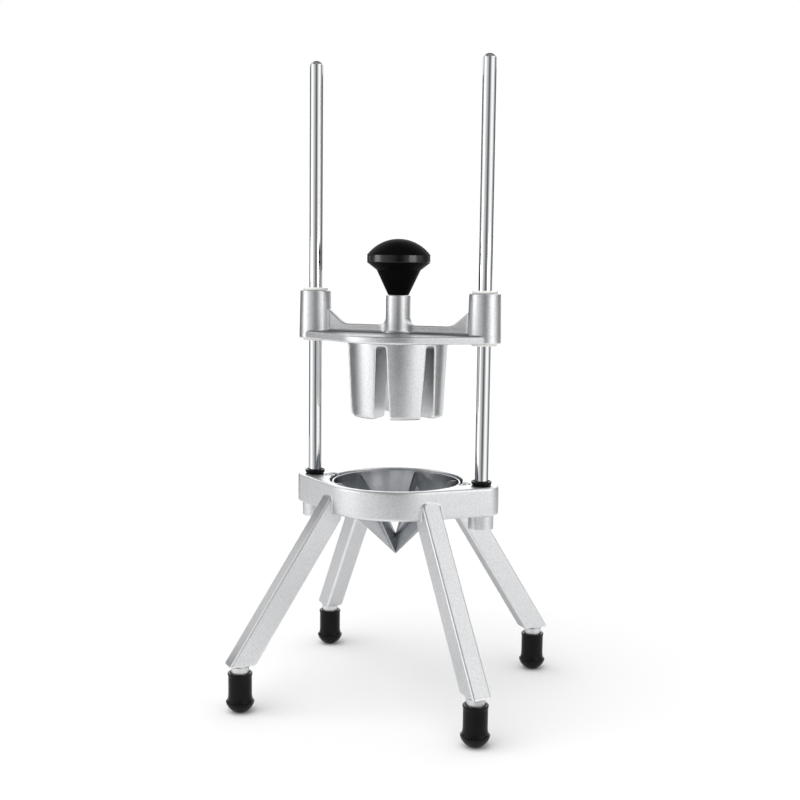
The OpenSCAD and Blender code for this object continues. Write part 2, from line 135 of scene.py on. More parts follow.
def rounded(corners: Sequence[Corner], steps: int = 5, closed: bool = False) -> list[Point2]:
    """An outline whose corners are rounded by tangent arcs.

    Args:
        corners: Each corner's two coordinates and its radius, which is zero for a sharp corner.
        steps: Stretches in each arc.
        closed: Whether the outline returns to its first corner.

    Returns:
        The outline's points, ending on the first one again where it is closed.
    """
    outline: list[Point2] = []
    count = len(corners)
    for i, (u, v, radius) in enumerate(corners):
        here = Vector((u, v))
        if radius <= 0.0:
            outline.append((u, v))
            continue
        before = (Vector(corners[(i - 1) % count][:2]) - here).normalized()
        after = (Vector(corners[(i + 1) % count][:2]) - here).normalized()
        half = before.angle(after) / 2.0
        middle = here + (before + after).normalized() * (radius / math.sin(half))
        first = here + before * (radius / math.tan(half)) - middle
        last = here + after * (radius / math.tan(half)) - middle
        for k in range(steps + 1):
            spoke = first.slerp(last, k / steps).normalized() * radius
            outline.append(tuple(middle + spoke))
    if closed:
        outline.append(outline[0])
    return outline


def lens_outline(middle_r: float, tip_r: float, tip_x: float) -> list[Point2]:
    """Plan of a round middle drawn out to a round tip at each rod.

    Args:
        middle_r: Radius of the middle.
        tip_r: Radius of a tip.
        tip_x: Distance of a tip from the middle.

    Returns:
        The closed plan's points, the first not repeated.
    """
    swing = math.degrees(math.acos((middle_r - tip_r) / tip_x))
    tip_steps = 20
    middle_steps = 48
    plan = arc((tip_x, 0.0), tip_r, tip_r, -swing, swing, tip_steps)
    plan += arc((0.0, 0.0), middle_r, middle_r, swing, 180.0 - swing, middle_steps)
    plan += arc((-tip_x, 0.0), tip_r, tip_r, 180.0 - swing, 180.0 + swing, tip_steps)
    plan += arc((0.0, 0.0), middle_r, middle_r, 180.0 + swing, 360.0 - swing, middle_steps)
    return plan


def ear_outline(sign: float, end_x: float, half_w: float, start_x: float, steps: int) -> list[Point2]:
    """Plan of an ear: a strip along X with a round end.

    Args:
        sign: Its side, as a factor on X.
        end_x: Middle of its round end.
        half_w: Half its width.
        start_x: Where it starts.
        steps: Stretches in its round end.

    Returns:
        The closed plan's points, the first not repeated.
    """
    plan = arc((sign * end_x, 0.0), sign * half_w, half_w, -90.0, 90.0, steps)
    return plan + [(sign * start_x, half_w), (sign * start_x, -half_w)]


# Modelling bench


def put_down() -> None:
    """Leave edit mode and deselect everything."""
    active = bpy.context.view_layer.objects.active
    if active is not None and active.mode != "OBJECT":
        bpy.ops.object.mode_set(mode="OBJECT")
    bpy.ops.object.select_all(action="DESELECT")


def pick_up(obj: bpy.types.Object) -> None:
    """Select one object alone and make it active."""
    put_down()
    obj.select_set(True)
    bpy.context.view_layer.objects.active = obj


def open_mesh(obj: bpy.types.Object) -> None:
    """Enter edit mode with the whole mesh selected."""
    pick_up(obj)
    bpy.ops.object.mode_set(mode="EDIT")
    bpy.ops.mesh.select_all(action="SELECT")


def close_mesh() -> None:
    """Leave edit mode."""
    bpy.ops.object.mode_set(mode="OBJECT")


def christen(name: str) -> bpy.types.Object:
    """Name the newest primitive and put its place into its mesh.

    Args:
        name: The new object's name.

    Returns:
        The object.
    """
    obj = bpy.context.view_layer.objects.active
    obj.name = name
    obj.data.name = name
    bpy.ops.object.transform_apply(location=True, rotation=True, scale=True)
    return obj


def wire(name: str, path: Sequence[Vector]) -> bpy.types.Object:
    """A chain of vertices, drawn out from the middle of a plane.

    Args:
        name: The new object's name.
        path: The chain's points in millimetres.

    Returns:
        The object, whose mesh holds only the chain.
    """
    put_down()
    bpy.ops.mesh.primitive_plane_add(size=MM, location=path[0] * MM)
    obj = christen(name)
    open_mesh(obj)
    bpy.ops.mesh.merge(type="CENTER")
    for here, there in zip(path, path[1:]):
        bpy.ops.mesh.extrude_vertices_move(TRANSFORM_OT_translate={"value": (there - here) * MM})
    close_mesh()
    return obj


def prism(name: str, outline: Sequence[Vector], along: Vector) -> bpy.types.Object:
    """A flat outline drawn out to a solid.

    Args:
        name: The new object's name.
        outline: The outline's points in millimetres, the first not repeated.
        along: The way in which it is drawn out, in millimetres.

    Returns:
        The closed solid.
    """
    obj = wire(name, outline)
    open_mesh(obj)
    bpy.ops.mesh.edge_face_add()
    bpy.ops.mesh.extrude_region_move(TRANSFORM_OT_translate={"value": along * MM})
    bpy.ops.mesh.select_all(action="SELECT")
    bpy.ops.mesh.normals_make_consistent(inside=False)
    close_mesh()
    return obj


def upright_prism(name: str, plan: Sequence[Point2], low: float, high: float) -> bpy.types.Object:
    """A plan drawn up from one height to another.

    Args:
        name: The new object's name.
        plan: The plan's points in millimetres.
        low: Lower height.
        high: Upper height.

    Returns:
        The closed solid.
    """
    return prism(name, [Vector((x, y, low)) for x, y in plan], UP * (high - low))


def lathe(name: str, outline: Sequence[Point2], at: Point2 = (0.0, 0.0), steps: int = 96) -> bpy.types.Object:
    """A turned piece, spun from its outline about an upright axis.

    Args:
        name: The new object's name.
        outline: Radius and height of each point in millimetres. It starts and ends on the axis, or closes.
        at: Place of the axis in plan.
        steps: Steps of the spin.

    Returns:
        The closed solid.
    """
    obj = wire(name, [Vector((at[0] + r, at[1], z)) for r, z in outline])
    open_mesh(obj)
    centre = (at[0] * MM, at[1] * MM, 0.0)
    bpy.ops.mesh.spin(steps=steps, angle=FULL_TURN, center=centre, axis=(0.0, 0.0, 1.0))
    bpy.ops.mesh.select_all(action="SELECT")
    bpy.ops.mesh.remove_doubles(threshold=WELD)
    bpy.ops.mesh.normals_make_consistent(inside=False)
    close_mesh()
    return obj


def pin(
    name: str, r: float, low: float, high: float, at: Point2 = (0.0, 0.0), sides: int = 64
) -> bpy.types.Object:
    """A straight pin, to be joined to a piece or cut out of one.

    Args:
        name: The new object's name.
        r: Radius.
        low: Lower height.
        high: Upper height.
        at: Place of the axis in plan.
        sides: Number of sides.

    Returns:
        The closed solid.
    """
    put_down()
    middle = Vector((at[0], at[1], (low + high) / 2.0)) * MM
    depth = (high - low) * MM
    bpy.ops.mesh.primitive_cylinder_add(vertices=sides, radius=r * MM, depth=depth, location=middle)
    return christen(name)


def apply_modifier(obj: bpy.types.Object, kind: str, **settings: object) -> None:
    """Add a modifier, set it and apply it.

    Args:
        obj: The piece.
        kind: Type of the modifier.
        **settings: Values of its properties.
    """
    pick_up(obj)
    bpy.ops.object.modifier_add(type=kind)
    modifier = obj.modifiers[-1]
    for key, value in settings.items():
        setattr(modifier, key, value)
    bpy.ops.object.modifier_apply(modifier=modifier.name)


def scrap(obj: bpy.types.Object) -> None:
    """Remove an object that is used up."""
    bpy.data.objects.remove(obj, do_unlink=True)


def at_sides(x: float) -> list[Point2]:
    """Places this far to the left and to the right of the middle."""
    return [(side.value * x, 0.0) for side in Side]


def combine(target: bpy.types.Object, tool: bpy.types.Object, how: Join) -> None:
    """Join one solid to another or cut it out, and use it up.

    Args:
        target: The solid that stays.
        tool: The solid that is used up.
        how: Union, difference or intersection.
    """
    apply_modifier(target, "BOOLEAN", operation=how.value, solver="EXACT", object=tool)
    scrap(tool)


def twin(
    obj: bpy.types.Object, name: str, angle: float = 0.0, shift: Vector | None = None
) -> bpy.types.Object:
    """A copy with its own mesh, turned about the middle axis and moved.

    Args:
        obj: The piece to copy.
        name: The copy's name.
        angle: Turn about Z in degrees.
        shift: Move in millimetres.

    Returns:
        The copy, with its place in its mesh.
    """
    copy = obj.copy()
    copy.data = obj.data.copy()
    copy.name = name
    copy.data.name = name
    bpy.context.scene.collection.objects.link(copy)
    pick_up(copy)
    copy.rotation_euler = (0.0, 0.0, math.radians(angle))
    copy.location = (shift or Vector((0.0, 0.0, 0.0))) * MM
    bpy.ops.object.transform_apply(location=True, rotation=True, scale=True)
    return copy


def combine_round(
    target: bpy.types.Object, tool: bpy.types.Object, angles: Sequence[float], how: Join
) -> None:
    """Combine copies of a solid, turned about the middle axis, with another, and use it up.

    Args:
        target: The solid that stays.
        tool: The solid that is copied.
        angles: Each copy's turn in degrees.
        how: Union or difference.
    """
    for angle in angles:
        combine(target, twin(tool, tool.name + "_copy", angle), how)
    scrap(tool)


def cut_out(target: bpy.types.Object, tools: Sequence[bpy.types.Object]) -> None:
    """Cut solids out of another, one by one, and use them up."""
    for tool in tools:
        combine(target, tool, Join.DIFFERENCE)


def weld_pieces(name: str, pieces: Sequence[bpy.types.Object]) -> bpy.types.Object:
    """Put several solids of one node into one object.

    Args:
        name: The object's name.
        pieces: The solids.

    Returns:
        The object.
    """
    pick_up(pieces[0])
    for piece in pieces[1:]:
        piece.select_set(True)
    bpy.ops.object.join()
    pieces[0].name = name
    pieces[0].data.name = name
    return pieces[0]


def trim(obj: bpy.types.Object, at: Vector, outward: Vector) -> None:
    """Saw a solid off along a plane and close the cut.

    Args:
        obj: The solid.
        at: A point on the plane in millimetres.
        outward: The plane's normal, on the side that falls away.
    """
    open_mesh(obj)
    bpy.ops.mesh.bisect(plane_co=at * MM, plane_no=outward, use_fill=True, clear_outer=True)
    close_mesh()


def bevel_edges(obj: bpy.types.Object, width: float, segments: int = 3) -> None:
    """Round a solid's sharp edges.

    Args:
        obj: The solid.
        width: Width of the rounding in millimetres.
        segments: Steps of the rounding.
    """
    sharp = math.radians(30.0)
    open_mesh(obj)
    bpy.ops.mesh.select_mode(type="EDGE")
    bpy.ops.mesh.select_all(action="DESELECT")
    bpy.ops.mesh.edges_select_sharp(sharpness=sharp)
    bpy.ops.mesh.bevel(offset=width * MM, segments=segments, affect="EDGES", clamp_overlap=True)
    bpy.ops.mesh.select_mode(type="VERT")
    bpy.ops.mesh.select_all(action="SELECT")
    bpy.ops.mesh.remove_doubles(threshold=WELD)
    close_mesh()


def cast_skin(obj: bpy.types.Object, edge: float, cell: float, passes: int, keep: float) -> None:
    """Give a solid the soft arrises and filled corners of a sand casting.

    Args:
        obj: The solid.
        edge: Rounding of its edges and corners in millimetres, or nought where they are rounded already.
        cell: Size of the skin's faces in millimetres.
        passes: Rounds of smoothing.
        keep: Share of the skin's faces that is kept.
    """
    flat = math.radians(0.5)
    sharp = math.radians(40.0)
    open_mesh(obj)
    bpy.ops.mesh.remove_doubles(threshold=WELD)
    bpy.ops.mesh.dissolve_limited(angle_limit=flat)
    close_mesh()
    if edge > 0.0:
        apply_modifier(
            obj, "BEVEL", width=edge * MM, segments=3, limit_method="ANGLE", angle_limit=sharp,
            use_clamp_overlap=False,
        )
    apply_modifier(obj, "REMESH", mode="VOXEL", voxel_size=cell * MM)
    apply_modifier(obj, "SMOOTH", factor=0.5, iterations=passes)
    apply_modifier(obj, "DECIMATE", ratio=keep)
    pick_up(obj)
    bpy.ops.object.shade_smooth()


def shade(obj: bpy.types.Object, angle: float = 35.0) -> None:
    """Shade a turned or bent piece smooth and keep its large faces true.

    Args:
        obj: The piece.
        angle: Largest angle between faces that are shaded as one, in degrees.
    """
    pick_up(obj)
    bpy.ops.object.shade_smooth_by_angle(angle=math.radians(angle))
    apply_modifier(obj, "WEIGHTED_NORMAL", weight=100, keep_sharp=True)


# Finishes

WHITE = "#ffffff"


def linear(hex_colour: str) -> Colour:
    """Turn an sRGB hex colour to linear.

    Args:
        hex_colour: Six hex digits after a hash.

    Returns:
        Red, green, blue and alpha.
    """
    parts = []
    for i in (1, 3, 5):
        value = int(hex_colour[i : i + 2], 16) / 255.0
        parts.append(value / 12.92 if value <= 0.04045 else ((value + 0.055) / 1.055) ** 2.4)
    return (parts[0], parts[1], parts[2], 1.0)


def per_metre(size: float) -> float:
    """Texture scale of a pattern whose features are this many millimetres across."""
    return 1.0 / (size * MM)


def add_node(
    tree: bpy.types.NodeTree,
    kind: str,
    settings: dict[str, object] | None = None,
    *values: object,
    **sockets: object,
) -> bpy.types.Node:
    """Add a node with its settings and links.

    Args:
        tree: The tree.
        kind: Type of the node.
        settings: Values of its properties.
        *values: Values of its first inputs, or the outputs that they are linked to.
        **sockets: The same for inputs by name, with _ for a space.

    Returns:
        The node.
    """
    node = tree.nodes.new(kind)
    for key, value in (settings or {}).items():
        setattr(node, key, value)
    pairs = list(zip(node.inputs, values))
    for key, value in sockets.items():
        name = key.replace("_", " ")
        pairs.append((next(s for s in node.inputs if s.enabled and s.name == name), value))
    for socket, value in pairs:
        if isinstance(value, bpy.types.NodeSocket):
            tree.links.new(value, socket)
        else:
            socket.default_value = value
    return node


def set_ramp(node: bpy.types.Node, stops: Sequence[tuple[float, Colour]]) -> None:
    """Set the stops of a colour ramp.

    Args:
        node: The ramp.
        stops: Place and colour of each stop.
    """
    elements = node.color_ramp.elements
    elements.remove(elements[1])
    elements[0].position = stops[0][0]
    elements[0].color = stops[0][1]
    for place, colour in stops[1:]:
        elements.new(place).color = colour


def new_material(name: str) -> tuple[bpy.types.Material, bpy.types.NodeTree]:
    """A material with nothing in it yet.

    Args:
        name: Its name.

    Returns:
        The material and its tree.
    """
    material = bpy.data.materials.new(name)
    material.use_nodes = True
    material.node_tree.nodes.clear()
    return material, material.node_tree


@dataclass(frozen=True)
class Finish:
    """A surface, as the material and the process that made it."""

    name: str
    light: str
    dark: str
    roughness: float
    spread: float
    grain: float
    depth: float

    def shader_values(self) -> dict[str, object]:
        """Constant values of the shader, beyond colour and roughness."""
        return {}

    def stretch(self) -> tuple[float, float, float]:
        """Scale of the pattern along each axis, where it runs one way."""
        return (1.0, 1.0, 1.0)

    def material(self) -> bpy.types.Material:
        """The finish as a material, made once.

        Returns:
            The material.
        """
        known = bpy.data.materials.get(self.name)
        if known is not None:
            return known
        material, tree = new_material(self.name)
        place = add_node(tree, "ShaderNodeTexCoord").outputs["Object"]
        pattern = add_node(tree, "ShaderNodeMapping", Vector=place, Scale=self.stretch()).outputs["Vector"]
        grain = add_node(
            tree, "ShaderNodeTexNoise", Vector=pattern, Scale=per_metre(self.grain), Detail=3.0, Roughness=0.6
        ).outputs["Fac"]
        tone = add_node(tree, "ShaderNodeValToRGB", Fac=grain)
        set_ramp(tone, [(0.3, linear(self.dark)), (0.7, linear(self.light))])
        relief = add_node(
            tree, "ShaderNodeBump", Height=grain, Strength=1.0, Distance=self.depth * MM
        ).outputs["Normal"]
        shader = add_node(
            tree, "ShaderNodeBsdfPrincipled",
            Base_Color=self.weather_and_highlight(tree, tone.outputs["Color"]), Roughness=self.gloss(tree, place),
            Normal=relief, **self.shader_values(),
        )
        add_node(tree, "ShaderNodeOutputMaterial", Surface=shader.outputs["BSDF"])
        return material

    def gloss(self, tree: bpy.types.NodeTree, place: bpy.types.NodeSocket) -> bpy.types.NodeSocket:
        """Roughness, which varies in broad patches.

        Args:
            tree: The material's tree.
            place: Object coordinates.

        Returns:
            The roughness.
        """
        patch_size = 9.0
        noise = add_node(tree, "ShaderNodeTexNoise", Vector=place, Scale=per_metre(patch_size), Detail=2.0)
        return add_node(
            tree, "ShaderNodeMapRange", Value=noise.outputs["Fac"],
            To_Min=self.roughness - self.spread, To_Max=self.roughness + self.spread,
        ).outputs["Result"]

    def weather_and_highlight(self, tree: bpy.types.NodeTree, colour: bpy.types.NodeSocket) -> bpy.types.NodeSocket:
        """Change the colour where the surface wears, or where a painted highlight lightens it.

        Args:
            tree: The material's tree.
            colour: The colour of the fresh surface.

        Returns:
            The colour as it shows.
        """
        return colour


@dataclass(frozen=True)
class Metal(Finish):
    """A bare or plated metal, darker where it turns away from the eye."""

    rim: str = "#b0b0b0"

    def shader_values(self) -> dict[str, object]:
        """A metal's constant values."""
        return {"Metallic": 1.0, "Specular_Tint": linear(self.rim)}


@dataclass(frozen=True)
class Casting(Metal):
    """A blasted casting whose arrises are brighter from rubbing, with a painted highlight along them as well.
    """

    worn_and_highlight: str = WHITE

    def weather_and_highlight(self, tree: bpy.types.NodeTree, colour: bpy.types.NodeSocket) -> bpy.types.NodeSocket:
        """Brighten the arrises, where handling and tumbling rub the blasted skin, and paint a highlight along
        them.

        Args:
            tree: The material's tree.
            colour: The colour of the fresh surface.

        Returns:
            The colour as it shows.
        """
        # Painted highlight on top of real rubbing: convex edges are lightened toward white, standing in for
        # the shine that light draws along them
        point = add_node(tree, "ShaderNodeNewGeometry").outputs["Pointiness"]
        rubbed_and_highlit = add_node(
            tree, "ShaderNodeMapRange", Value=point, From_Min=0.505, From_Max=0.54, To_Min=0.0, To_Max=0.8
        ).outputs["Result"]
        mix = add_node(
            tree, "ShaderNodeMix", {"data_type": "RGBA"}, Factor=rubbed_and_highlit, A=colour, B=linear(self.worn_and_highlight)
        )
        return next(s for s in mix.outputs if s.enabled)


@dataclass(frozen=True)
class DrawnMetal(Metal):
    """A metal with fine lines that run one way."""

    run: tuple[float, float, float] = (1.0, 1.0, 0.05)

    def stretch(self) -> tuple[float, float, float]:
        """The lines' scale along each axis."""
        return self.run


@dataclass(frozen=True)
class Moulding(Finish):
    """A moulded plastic or rubber."""

    specular: float = 0.5

    def shader_values(self) -> dict[str, object]:
        """Strength of the plain reflection."""
        return {"Specular_IOR_Level": self.specular}


# Sand-cast aluminium, bead blasted: pale grey and satin, with a fine sparkle of grit.
# Real grit is about 0.1 mm and would not show, so it is drawn at 1.2 mm.
CAST_ALUMINIUM = Casting("aluminium_cast_bead_blasted", "#e2e3e4", "#cdced0", 0.37, 0.05, 1.2, 0.085)
# The same metal, tumbled smoother on the fingers: brighter lights and darker darks
TUMBLED_ALUMINIUM = Casting("aluminium_cast_tumbled", "#e2e3e4", "#cbccce", 0.3, 0.05, 1.2, 0.085)
# Hard chrome on ground bar: mirror bright, with faint lines along the bar
HARD_CHROME = DrawnMetal(
    "steel_bar_hard_chromed", "#eef0f1", "#e2e4e6", 0.07, 0.02, 0.6, 0.0002, rim="#606264"
)
# Stainless sheet, ground along its length: mid grey with soft streaks
GROUND_STAINLESS = DrawnMetal(
    "stainless_sheet_ground", "#c3c5c8", "#b0b3b6", 0.24, 0.05, 0.5, 0.01, run=(1.0, 1.0, 0.2)
)
# Zinc-plated steel: a dull bluish grey
ZINC_STEEL = Metal("steel_zinc_plated", "#b9bdc2", "#a6aab0", 0.32, 0.06, 0.8, 0.01)
# Black rubber, moulded: a soft sheen on a near-black skin
BLACK_RUBBER = Moulding("rubber_moulded_black", "#0f0f10", "#0a0a0b", 0.34, 0.06, 0.7, 0.01, specular=0.13)
# Nylon, turned: white with a waxy sheen
WHITE_NYLON = Moulding("nylon_turned_white", "#f4f4f1", "#eaeae6", 0.42, 0.05, 0.8, 0.01)
# Phenolic, compression moulded: deep black, with the band polished by hands
POLISHED_PHENOLIC = Moulding("phenolic_moulded_polished", "#070708", "#050506", 0.16, 0.02, 1.2, 0.002)
# The same on the crown and the neck, satin from the mould: black with hardly a reflection
SATIN_PHENOLIC = Moulding(
    "phenolic_moulded_satin", "#0a0a0b", "#070708", 0.5, 0.05, 1.2, 0.004, specular=0.02
)


def hand_over(
    piece: bpy.types.Object, nodes: Sequence[str], body: Body, finish: Finish
) -> bpy.types.Object:
    """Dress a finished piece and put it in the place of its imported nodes.

    Args:
        piece: The piece.
        nodes: The nodes that it stands for.
        body: The body that it moves with.
        finish: The surface.

    Returns:
        The piece.
    """
    piece.data.materials.clear()
    piece.data.materials.append(finish.material())
    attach(piece, body.value)
    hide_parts(*nodes)
    LOG.info("%s for %s: %d faces", piece.name, ", ".join(nodes), len(piece.data.polygons))
    return piece


def hand_over_pair(
    piece: bpy.types.Object, rod_x: float, node: str, kind: str, body: Body, finish: Finish
) -> None:
    """Dress a left and a right copy of a right-hand piece on the rods, and use it up.

    Args:
        piece: The right-hand piece.
        rod_x: The rods' distance from the middle.
        node: The nodes' name, without its side.
        kind: What a copy's name adds to its node's.
        body: The body that the copies move with.
        finish: The surface.
    """
    for side in Side:
        name = f"{node}_{side.name.lower()}"
        shift = Vector(((side.value - 1.0) * rod_x, 0.0, 0.0))
        hand_over(twin(piece, f"{name}_{kind}", shift=shift), [name], body, finish)
    scrap(piece)


# Sub-assemblies


@dataclass
class CastStand:
    """The stand's one casting: ring wall, tips, bosses and four legs with their stubs."""

    low: float = 144.6
    top: float = 166.2
    wall_r: float = 56.0
    tip_r: float = 13.0
    opening_r: float = 51.0
    lip_r: float = 48.3
    lip_top: float = 147.0
    rod_x: float = ROD_X
    boss_r: float = 9.5
    boss_low: float = 133.0
    screw_seat: float = 139.5
    rod_seat: float = 143.5
    rod_r: float = 5.05
    screw_r: float = 3.3
    screw_head_r: float = 5.3
    leg_angle: float = LEG_ANGLE
    lean: float = 32.7
    leg_w: float = 14.4
    leg_depth: float = 20.2
    leg_round: float = 1.3
    leg_arch: float = 4.5
    leg_start: float = -0.2
    leg_drop: float = 8.1
    leg_end: float = 35.5
    stub_r: float = 6.65
    stub_low: float = 10.05
    ear_low: float = 162.0
    ear_half_w: float = 6.4
    ear_end: float = 52.5
    ear_start: float = 46.0
    ear_screw_x: float = 54.3
    ear_screw_r: float = 2.05
    ear_screw_low: float = 152.5
    edge: float = 1.3
    cell: float = 0.6
    passes: int = 5
    keep: float = 0.3

    def leg_angles(self) -> list[float]:
        """Directions of the four legs in degrees."""
        return [self.leg_angle, 180.0 - self.leg_angle, 180.0 + self.leg_angle, -self.leg_angle]

    def build_leg(self) -> bpy.types.Object:
        """One leg along +X: an arched face, drawn in to its depth and sawn level, with its stub.

        Returns:
            The leg.
        """
        lean = math.radians(self.lean)
        down = Vector((math.sin(lean), 0.0, -math.cos(lean)))
        out = Vector((math.cos(lean), 0.0, math.sin(lean)))
        head = Vector((self.wall_r, 0.0, self.top - self.leg_drop))
        fall = head.z - self.leg_end
        length = fall / math.cos(lean) + self.leg_depth
        half = self.leg_w / 2.0
        top = self.leg_start
        face = rounded(
            [
                (top, -half, self.leg_arch), (top, half, self.leg_arch),
                (length, half, 0.0), (length, -half, 0.0),
            ]
        )
        outline = [head + down * s + Vector((0.0, t, 0.0)) for s, t in face]
        leg = prism("leg", outline, -out * (self.leg_depth * math.cos(lean)))
        bevel_edges(leg, self.leg_round)
        trim(leg, UP * self.leg_end, -UP)
        axis_r = self.wall_r + fall * math.tan(lean) - self.leg_depth / 2.0
        combine(leg, pin("stub", self.stub_r, self.stub_low, self.leg_end + OVER, (axis_r, 0.0)), Join.UNION)
        return leg

    def build(self) -> bpy.types.Object:
        """The whole casting.

        Returns:
            The casting, with soft arrises.
        """
        plan = lens_outline(self.wall_r, self.tip_r, self.rod_x)
        casting = upright_prism("stand_casting", plan, self.low, self.top)
        bevel_edges(casting, self.edge)
        rods = at_sides(self.rod_x)
        for at in rods:
            combine(casting, pin("boss", self.boss_r, self.boss_low, self.low + OVER, at), Join.UNION)
        combine_round(casting, self.build_leg(), self.leg_angles(), Join.UNION)
        above = self.top + OVER
        cuts = [
            pin("opening", self.opening_r, self.lip_top, above, sides=128),
            pin("lip_bore", self.lip_r, self.leg_end, self.lip_top + OVER, sides=128),
        ]
        for at in rods:
            cuts.append(pin("rod_bore", self.rod_r, self.rod_seat, above, at))
            cuts.append(pin("screw_bore", self.screw_r, self.screw_seat - OVER, self.rod_seat + OVER, at))
            cuts.append(pin("head_bore", self.screw_head_r, self.boss_low - OVER, self.screw_seat, at))
        for side in Side:
            sign = side.value
            plan = ear_outline(sign, self.ear_end, self.ear_half_w, self.ear_start, steps=16)
            cuts.append(upright_prism("ear_pocket", plan, self.ear_low, above))
            at = (sign * self.ear_screw_x, 0.0)
            cuts.append(pin("ear_screw_bore", self.ear_screw_r, self.ear_screw_low, self.ear_low + OVER, at))
        cut_out(casting, cuts)
        cast_skin(casting, 0.0, self.cell, self.passes, self.keep)
        return casting

    def dress(self) -> None:
        """Build the casting and put it in place."""
        hand_over(self.build(), ["base_frame"], Body.STAND, CAST_ALUMINIUM)


@dataclass
class BladeRing:
    """The steel ring, its six blades and its two screws."""

    outer_r: float = 49.3
    wall: float = 1.5
    low: float = 147.0
    top: float = 164.8
    rim_round: float = 0.5
    ear_low: float = 162.0
    ear_t: float = 1.5
    ear_half_w: float = 6.0
    ear_end: float = 52.5
    ear_screw_x: float = 54.3
    ear_hole_r: float = 2.3
    blade_t: float = 1.2
    blade_w: float = 11.6
    blade_tip: float = 107.7
    blade_slope: float = 43.5
    blade_grind: float = 3.0
    blade_edge: float = 0.2
    blade_top: float = 163.6
    blade_end_r: float = 49.1
    slot_gap: float = 0.05
    first_angle: float = -90.0
    names: tuple[str, ...] = ("front", "front_right", "back_right", "back", "back_left", "front_left")
    head_r: float = 3.5
    head_h: float = 2.2
    screw_r: float = 2.0
    screw_low: float = 154.0
    key_r: float = 1.4

    def places(self) -> dict[str, float]:
        """Direction of each blade in degrees."""
        step = 360.0 / len(self.names)
        return {name: self.first_angle + i * step for i, name in enumerate(self.names)}

    def build_strip(self, name: str, gap: float) -> bpy.types.Object:
        """A strip along +X and up the blades' slope, with a ground upper edge.

        Args:
            name: The strip's name.
            gap: Room left round it, where it is cut out of the ring.

        Returns:
            The strip, not yet cut to length.
        """
        slope = math.radians(self.blade_slope)
        along = Vector((math.cos(slope), 0.0, math.sin(slope)))
        across = Vector((-math.sin(slope), 0.0, math.cos(slope)))
        half = self.blade_t / 2.0 + gap
        edge = half if gap else self.blade_edge / 2.0
        shoulder = self.blade_w - self.blade_grind
        section = [
            (-half, -gap), (half, -gap), (half, shoulder), (edge, self.blade_w + gap),
            (-edge, self.blade_w + gap), (-half, shoulder),
        ]
        start = UP * self.blade_tip - along * self.blade_w
        outline = [start + Vector((0.0, t, 0.0)) + across * w for t, w in section]
        return prism(name, outline, along * (2.0 * self.outer_r))

    def build_blade(self) -> bpy.types.Object:
        """The blade along +X, pointed on the axis, sawn level at the top and square at the ring.

        Returns:
            The blade.
        """
        blade = self.build_strip("blade", 0.0)
        half_step = math.radians(180.0 / len(self.names))
        for sign in (-1.0, 1.0):
            outward = Vector((-math.sin(half_step), sign * math.cos(half_step), 0.0))
            trim(blade, Vector((0.0, 0.0, 0.0)), outward)
        trim(blade, UP * self.blade_top, UP)
        trim(blade, Vector((self.blade_end_r, 0.0, 0.0)), Vector((1.0, 0.0, 0.0)))
        return blade

    def build_ring(self) -> bpy.types.Object:
        """The ring with an ear at each end and a slot for each blade.

        Returns:
            The ring.
        """
        inner_r = self.outer_r - self.wall
        outline = rounded(
            [
                (inner_r, self.low, 0.0), (self.outer_r, self.low, self.rim_round),
                (self.outer_r, self.top, self.rim_round), (inner_r, self.top, self.rim_round),
            ],
            closed=True,
        )
        ring = lathe("blade_ring_band", outline, steps=144)
        for side in Side:
            sign = side.value
            ear_start = inner_r + self.wall / 2.0
            plan = ear_outline(sign, self.ear_end, self.ear_half_w, ear_start, steps=24)
            ear = upright_prism("ear", plan, self.ear_low, self.ear_low + self.ear_t)
            hole_at = (sign * self.ear_screw_x, 0.0)
            above = self.ear_low + self.ear_t + OVER
            hole = pin("ear_hole", self.ear_hole_r, self.ear_low - OVER, above, hole_at)
            combine(ear, hole, Join.DIFFERENCE)
            combine(ring, ear, Join.UNION)
        slot = self.build_strip("blade_slot", self.slot_gap)
        trim(slot, UP * (self.blade_top + self.slot_gap), UP)
        trim(slot, Vector((inner_r - OVER, 0.0, 0.0)), Vector((-1.0, 0.0, 0.0)))
        combine_round(ring, slot, list(self.places().values()), Join.DIFFERENCE)
        shade(ring)
        return ring

    def build_screws(self) -> bpy.types.Object:
        """The two screws in the ring's ears.

        Returns:
            Both screws as one object.
        """
        seat = self.ear_low + self.ear_t
        sizes = (self.head_r, seat, seat + self.head_h, self.screw_r, self.screw_low, self.key_r)
        screws = [socket_screw("ear_screw", at, *sizes) for at in at_sides(self.ear_screw_x)]
        return weld_pieces("blade_ring_screw_pair", screws)

    def dress(self) -> None:
        """Build the ring, blades and screws and put them in place."""
        hand_over(self.build_ring(), ["blade_ring"], Body.STAND, GROUND_STAINLESS)
        blade = self.build_blade()
        for name, angle in self.places().items():
            strip = twin(blade, f"blade_{name}_strip", angle)
            hand_over(strip, [f"blade_{name}"], Body.STAND, GROUND_STAINLESS)
        scrap(blade)
        hand_over(self.build_screws(), ["blade_ring_screws"], Body.STAND, ZINC_STEEL)


def socket_screw(
    name: str, at: Point2, head_r: float, seat: float, crown: float, shank_r: float, tip: float, key_r: float
) -> bpy.types.Object:
    """A cap screw with a six-sided key socket in its crown, up or down.

    Args:
        name: The screw's name.
        at: Place of its axis in plan.
        head_r: Radius of the head.
        seat: Height of the head's seat.
        crown: Height of the head's crown, above or below the seat.
        shank_r: Radius of the shank.
        tip: Height of the shank's tip.
        key_r: Radius of the socket's corners.

    Returns:
        The screw.
    """
    edge = 0.4
    outline = rounded(
        [
            (0.0, tip, 0.0), (shank_r, tip, edge), (shank_r, seat, 0.0), (head_r, seat, edge / 2.0),
            (head_r, crown, edge), (0.0, crown, 0.0),
        ],
        steps=3,
    )
    screw = lathe(name, outline, at, steps=48)
    half_depth = (crown - seat) / 2.0
    low, high = sorted((crown - half_depth, crown + half_depth))
    combine(screw, pin("key_socket", key_r, low, high, at, sides=6), Join.DIFFERENCE)
    shade(screw)
    return screw


